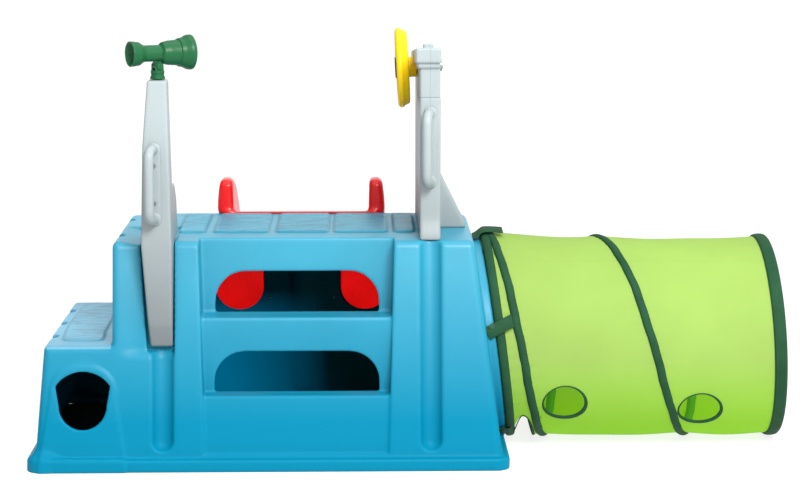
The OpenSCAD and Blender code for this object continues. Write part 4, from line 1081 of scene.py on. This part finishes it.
def strip(name, path, across, out, section, body, closed=False):
    """A tape with a puffy section along a path. Its map holds metres along and a share across."""
    n, m = len(path), len(section)
    w, h = np.array(section, float).T
    points = path[:, None] + across[:, None] * w[None, :, None] + out[:, None] * h[None, :, None]
    faces = ring_faces(n, m, closed)
    step = np.linalg.norm(np.diff(path, axis=0, append=path[:1]), axis=1)
    along = np.concatenate([[0], np.cumsum(step)]) * MM
    share = (w - w.min()) / (w.max() - w.min())
    ring = faces[:, :1] // m + (0, 0, 1, 1)
    obj = mesh_object(name, points.reshape(-1, 3), faces, body)
    give_map(obj, np.stack([along[ring], share[faces % m]], -1))
    return dress(obj, "trim_green")


def folds(obj):
    """Gives a piece that folds up with the tunnel a mesh of its own."""
    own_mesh(obj)
    return obj


def puffed(half, height, low):
    """Section of a stuffed tape, as places across and heights."""
    top = [(half * t, 0.2 + (height - 0.2) * (1 - abs(t) ** 2.4) ** 0.6) for t in np.linspace(-1, 1, 11)]
    return top + [(half * 0.9, low), (-half * 0.9, low)]


BINDING = [(-1.4, 0), (-0.8, 2.2), (1.2, 2.6), (5, 1.9), (6, 0.7)]
BINDING += [(w, -h) for w, h in BINDING[:0:-1]]


def bound_edge(name, hole, start, end, closed):
    """Tape folded over the edge of an oval hole, between two directions in degrees."""
    angle, at, half_s, low_x, high_x = hole
    turns = np.radians(np.linspace(start, end, 72, endpoint=not closed))
    a = angle + np.degrees(half_s * np.sin(turns) / CLOTH_R)
    x = at + np.where(np.cos(turns) > 0, high_x, low_x) * np.cos(turns)
    path = spot(a, x, cloth_radius(a % 360, x))
    t = np.radians(a)
    tangent = np.stack([np.zeros_like(t), -np.cos(t), -np.sin(t)], -1)
    across = np.cos(turns)[:, None] * np.array([1.0, 0, 0]) + np.sin(turns)[:, None] * tangent
    # one side of the binding is broader
    across *= 0.75 + 0.55 * np.cos(turns - radians(60))[:, None]
    return strip(name, path, across, outward(a), BINDING, "base", closed)


angles, places = cloth_grid()
gone = np.zeros((len(places) - 1, AROUND), bool)
holes = [open_hole(angles, places, gone, a, HEM_X + TUNNEL_L * share, PEEPHOLE_HALF, 0.4)
         for a, share in PEEPHOLES]
notch = open_hole(angles, places, gone, NOTCH_ANGLE, SPLIT_X - 2, NOTCH_HALF, 0.12)
skirt, skirt_area = cloth_piece("skirt_sheet", angles, places, 0, SKIRT_ROWS, gone, "tunnel_skirt")
cloth, cloth_area = cloth_piece("cloth_sheet", angles, places, SKIRT_ROWS, SKIRT_ROWS + CLOTH_ROWS, gone,
                                "tunnel_cloth")
folds(cloth)


# Sleeve, bands and bindings

def sleeve(name, start, end):
    """A stretch of the spiral sleeve, which wanders a little."""
    a = np.linspace(start, end, int((end - start) / 1.5))
    wander = 0.7 * np.sin(np.radians(a) * 9) + 0.4 * np.sin(np.radians(a) * 23)
    path = spot(a, turn_x(a) + wander, CLOTH_R + 0.6 + hem_rise(a) * (a < 180))
    along_x = np.tile((1.0, 0, 0), (len(a), 1))
    obj = strip(name, path, along_x, outward(a), puffed(9.5, 6.0, -2.6), "base")
    obj.data.materials[0] = sleeve_look
    return obj


def hoop_band(name, x, lean, width, body, rise=0.0):
    """Stuffed band around a leaning hoop."""
    a = np.arange(160) * 2.25
    t = np.radians(a)
    out = np.stack([-np.cos(t) * sin(lean), -np.sin(t), np.cos(t) * cos(lean)], -1)
    axis = np.tile((cos(lean), 0, sin(lean)), (len(a), 1))
    path = np.array([x, 0, TUNNEL_Z]) + (HOOP_R + rise * hem_rise(a))[:, None] * out
    return strip(name, path, axis, out, puffed(width / 2, 5.0, -4.5), body, closed=True)


sleeve_look = tape_look("sleeve_green", TRIM_PAINTED_LIGHT)
split_angle = float(np.interp(SPLIT_X, HEM_X + TUNNEL_L * np.array(TURN_SHARES), TURN_ANGLES))
sleeve("sleeve_fixed", TURN_FROM, split_angle)
folds(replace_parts(sleeve("sleeve_folding", split_angle, TURN_TO), "tunnel_sleeve", "tunnel_wire"))
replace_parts(hoop_band("hem_tape", HEM_X + 4, TILT, 20, "base", 1.0), "hem_band")
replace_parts(hoop_band("end_tape", END_X, END_TILT, BAND_W, "tunnel_end"), "end_band")
rings = [folds(bound_edge(f"peephole_edge_{k + 1}", hole, 0, 360, True)) for k, hole in enumerate(holes)]
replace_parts(rings[0], "peephole_rings")
split_turn = degrees(acos((SPLIT_X - notch[1]) / notch[4]))
bound_edge("notch_edge_fixed", notch, split_turn, 360 - split_turn, False)
folds(bound_edge("notch_edge_folding", notch, -split_turn, split_turn, False))


# Straps

def strap(name, angle, to_angle, past_hem, width, sink=5.5):
    """A strap of webbing from the wall to the tunnel, where its end sinks onto the cloth."""
    from_x = FOOT_RIGHT - tan(TILT) * (TUNNEL_Z + WALL_STRAP_R * cos(radians(angle))) + 2
    u = np.linspace(0, 1, 16)
    a = angle + (to_angle - angle) * u
    height = STRAP_R + 2.0 * np.sin(np.pi * u) + hem_rise(a) * ease(u / 0.4) - sink * ease((u - 0.6) / 0.3)
    path = spot(a, from_x + (HEM_X + past_hem - from_x) * u, height)
    out = outward(a)
    across = np.cross(out, np.gradient(path, axis=0))
    across /= np.linalg.norm(across, axis=1)[:, None]
    half, flat = width / 2, width / 2 - 0.6
    section = [(-half, 0), (-flat, STRAP_HALF_T), (flat, STRAP_HALF_T),
               (half, 0), (flat, -STRAP_HALF_T), (-flat, -STRAP_HALF_T)]
    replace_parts(strip(name + "_web", path, across, out, section, "base"), name)


strap("strap_top", 4, 4, 14, 58, 0)
strap("strap_front", 78, 70, 31, 29)
strap("strap_rear", 282, 290, 38, 25)
strap("strap_low_front", 145, 145, 36, 25)
strap("strap_low_rear", 215, 215, 36, 25)


# Stage: places in metres

FLOOR_HALF, FLOOR_DROP = 40, 0.0005
COVER_Y, COVER_HALF_X, COVER_HALF_Y, COVER_CORNER = 0.002, 0.5165, 0.3345, 0.831
CAMERA_AT, CAMERA_PITCH, CAMERA_YAW = (0.1945, -4.97, 1.224), radians(80.89), -radians(1.194)
LENS, SENSOR = 98.93, 36.0
BRIGHT_SIDE = (0.55, -0.5, 0.67)


def floor_look():
    """Pale floor with a faint glow. Under the base, with its cut corners, it is dark with painted shade and
    does not glow.
    """
    made, shader, coords = material("floor")
    x, y, _ = axes_of(coords)
    off_x = apart(x, 0.0)
    off_y = apart(y, COVER_Y)
    in_box = times(below(off_x, COVER_HALF_X), below(off_y, COVER_HALF_Y))
    # painted shade: the floor under the base is dark and does not glow
    covered = times(in_box, below(maths("ADD", off_x, off_y), COVER_CORNER))
    bare = maths("SUBTRACT", 1.0, covered)
    glow = times(mapped(noise(coords, 3.0), 0.80, 0.82), bare)
    feed(shader, Base_Color=mix_colour(covered, FLOOR_GREY, UNDER_BASE_SHADE), Roughness=0.9,
         Specular_IOR_Level=0.0, Emission_Color=WHITE, Emission_Strength=glow)
    return made


def lamp(name, kind, place, target, power, **settings):
    """A light that points at a target."""
    light = assign(bpy.data.lights.new(name, kind), energy=power, **settings)
    turn = (Vector(target) - Vector(place)).to_track_quat("-Z", "Y").to_euler()
    assign(add(name, light), location=place, rotation_euler=turn)


def surroundings():
    """White light from all around, strongest from the front right and from straight behind."""
    world = bpy.data.worlds.new("studio")
    world.use_nodes = True
    tree = world.node_tree
    direction = places_on(tree, "Generated")
    toward = assign(node(tree, "ShaderNodeVectorMath"), operation="DOT_PRODUCT")
    plug(toward.inputs[0], direction)
    plug(toward.inputs[1], BRIGHT_SIDE)
    front = mapped(toward.outputs["Value"], 0.12, 1.5, -0.2, 1.0)
    back = mapped(axes_of(direction)[1], 0, 1.4, 0.72, 0.95)
    feed(tree.nodes["Background"], Color=WHITE, Strength=maths("MAXIMUM", front, back))
    return world


scene = bpy.context.scene
scene.view_settings.view_transform = "Standard"
scene.world = surroundings()

floor_data = bpy.data.meshes.new("floor")
floor_points = [(FLOOR_HALF * x, FLOOR_HALF * y, 0) for x, y in ((-1, -1), (1, -1), (1, 1), (-1, 1))]
floor_data.from_pydata(floor_points, [], [(0, 1, 2, 3)])
floor_data.materials.append(floor_look())
floor = add("floor", floor_data)
floor.location.z = -FLOOR_DROP

lamp("key", "AREA", (1.3, -3.6, 3.2), (0.1, 0.0, 0.5), 225, size=1.5)
lamp("top", "AREA", (0.2, 0.4, 3.6), (0.2, 0.2, 0.4), 30, size=2.6)
lamp("step_light", "SPOT", (-1.2, 0.2, 2.6), (-0.415, 0.0, STEP_H * MM), 330,
     spot_size=radians(12), spot_blend=1.0, shadow_soft_size=0.25)

camera_data = assign(bpy.data.cameras.new("camera"), lens=LENS, sensor_width=SENSOR)
camera_turn = Euler((CAMERA_PITCH, 0, CAMERA_YAW))
scene.camera = assign(add("camera", camera_data), location=CAMERA_AT, rotation_euler=camera_turn)
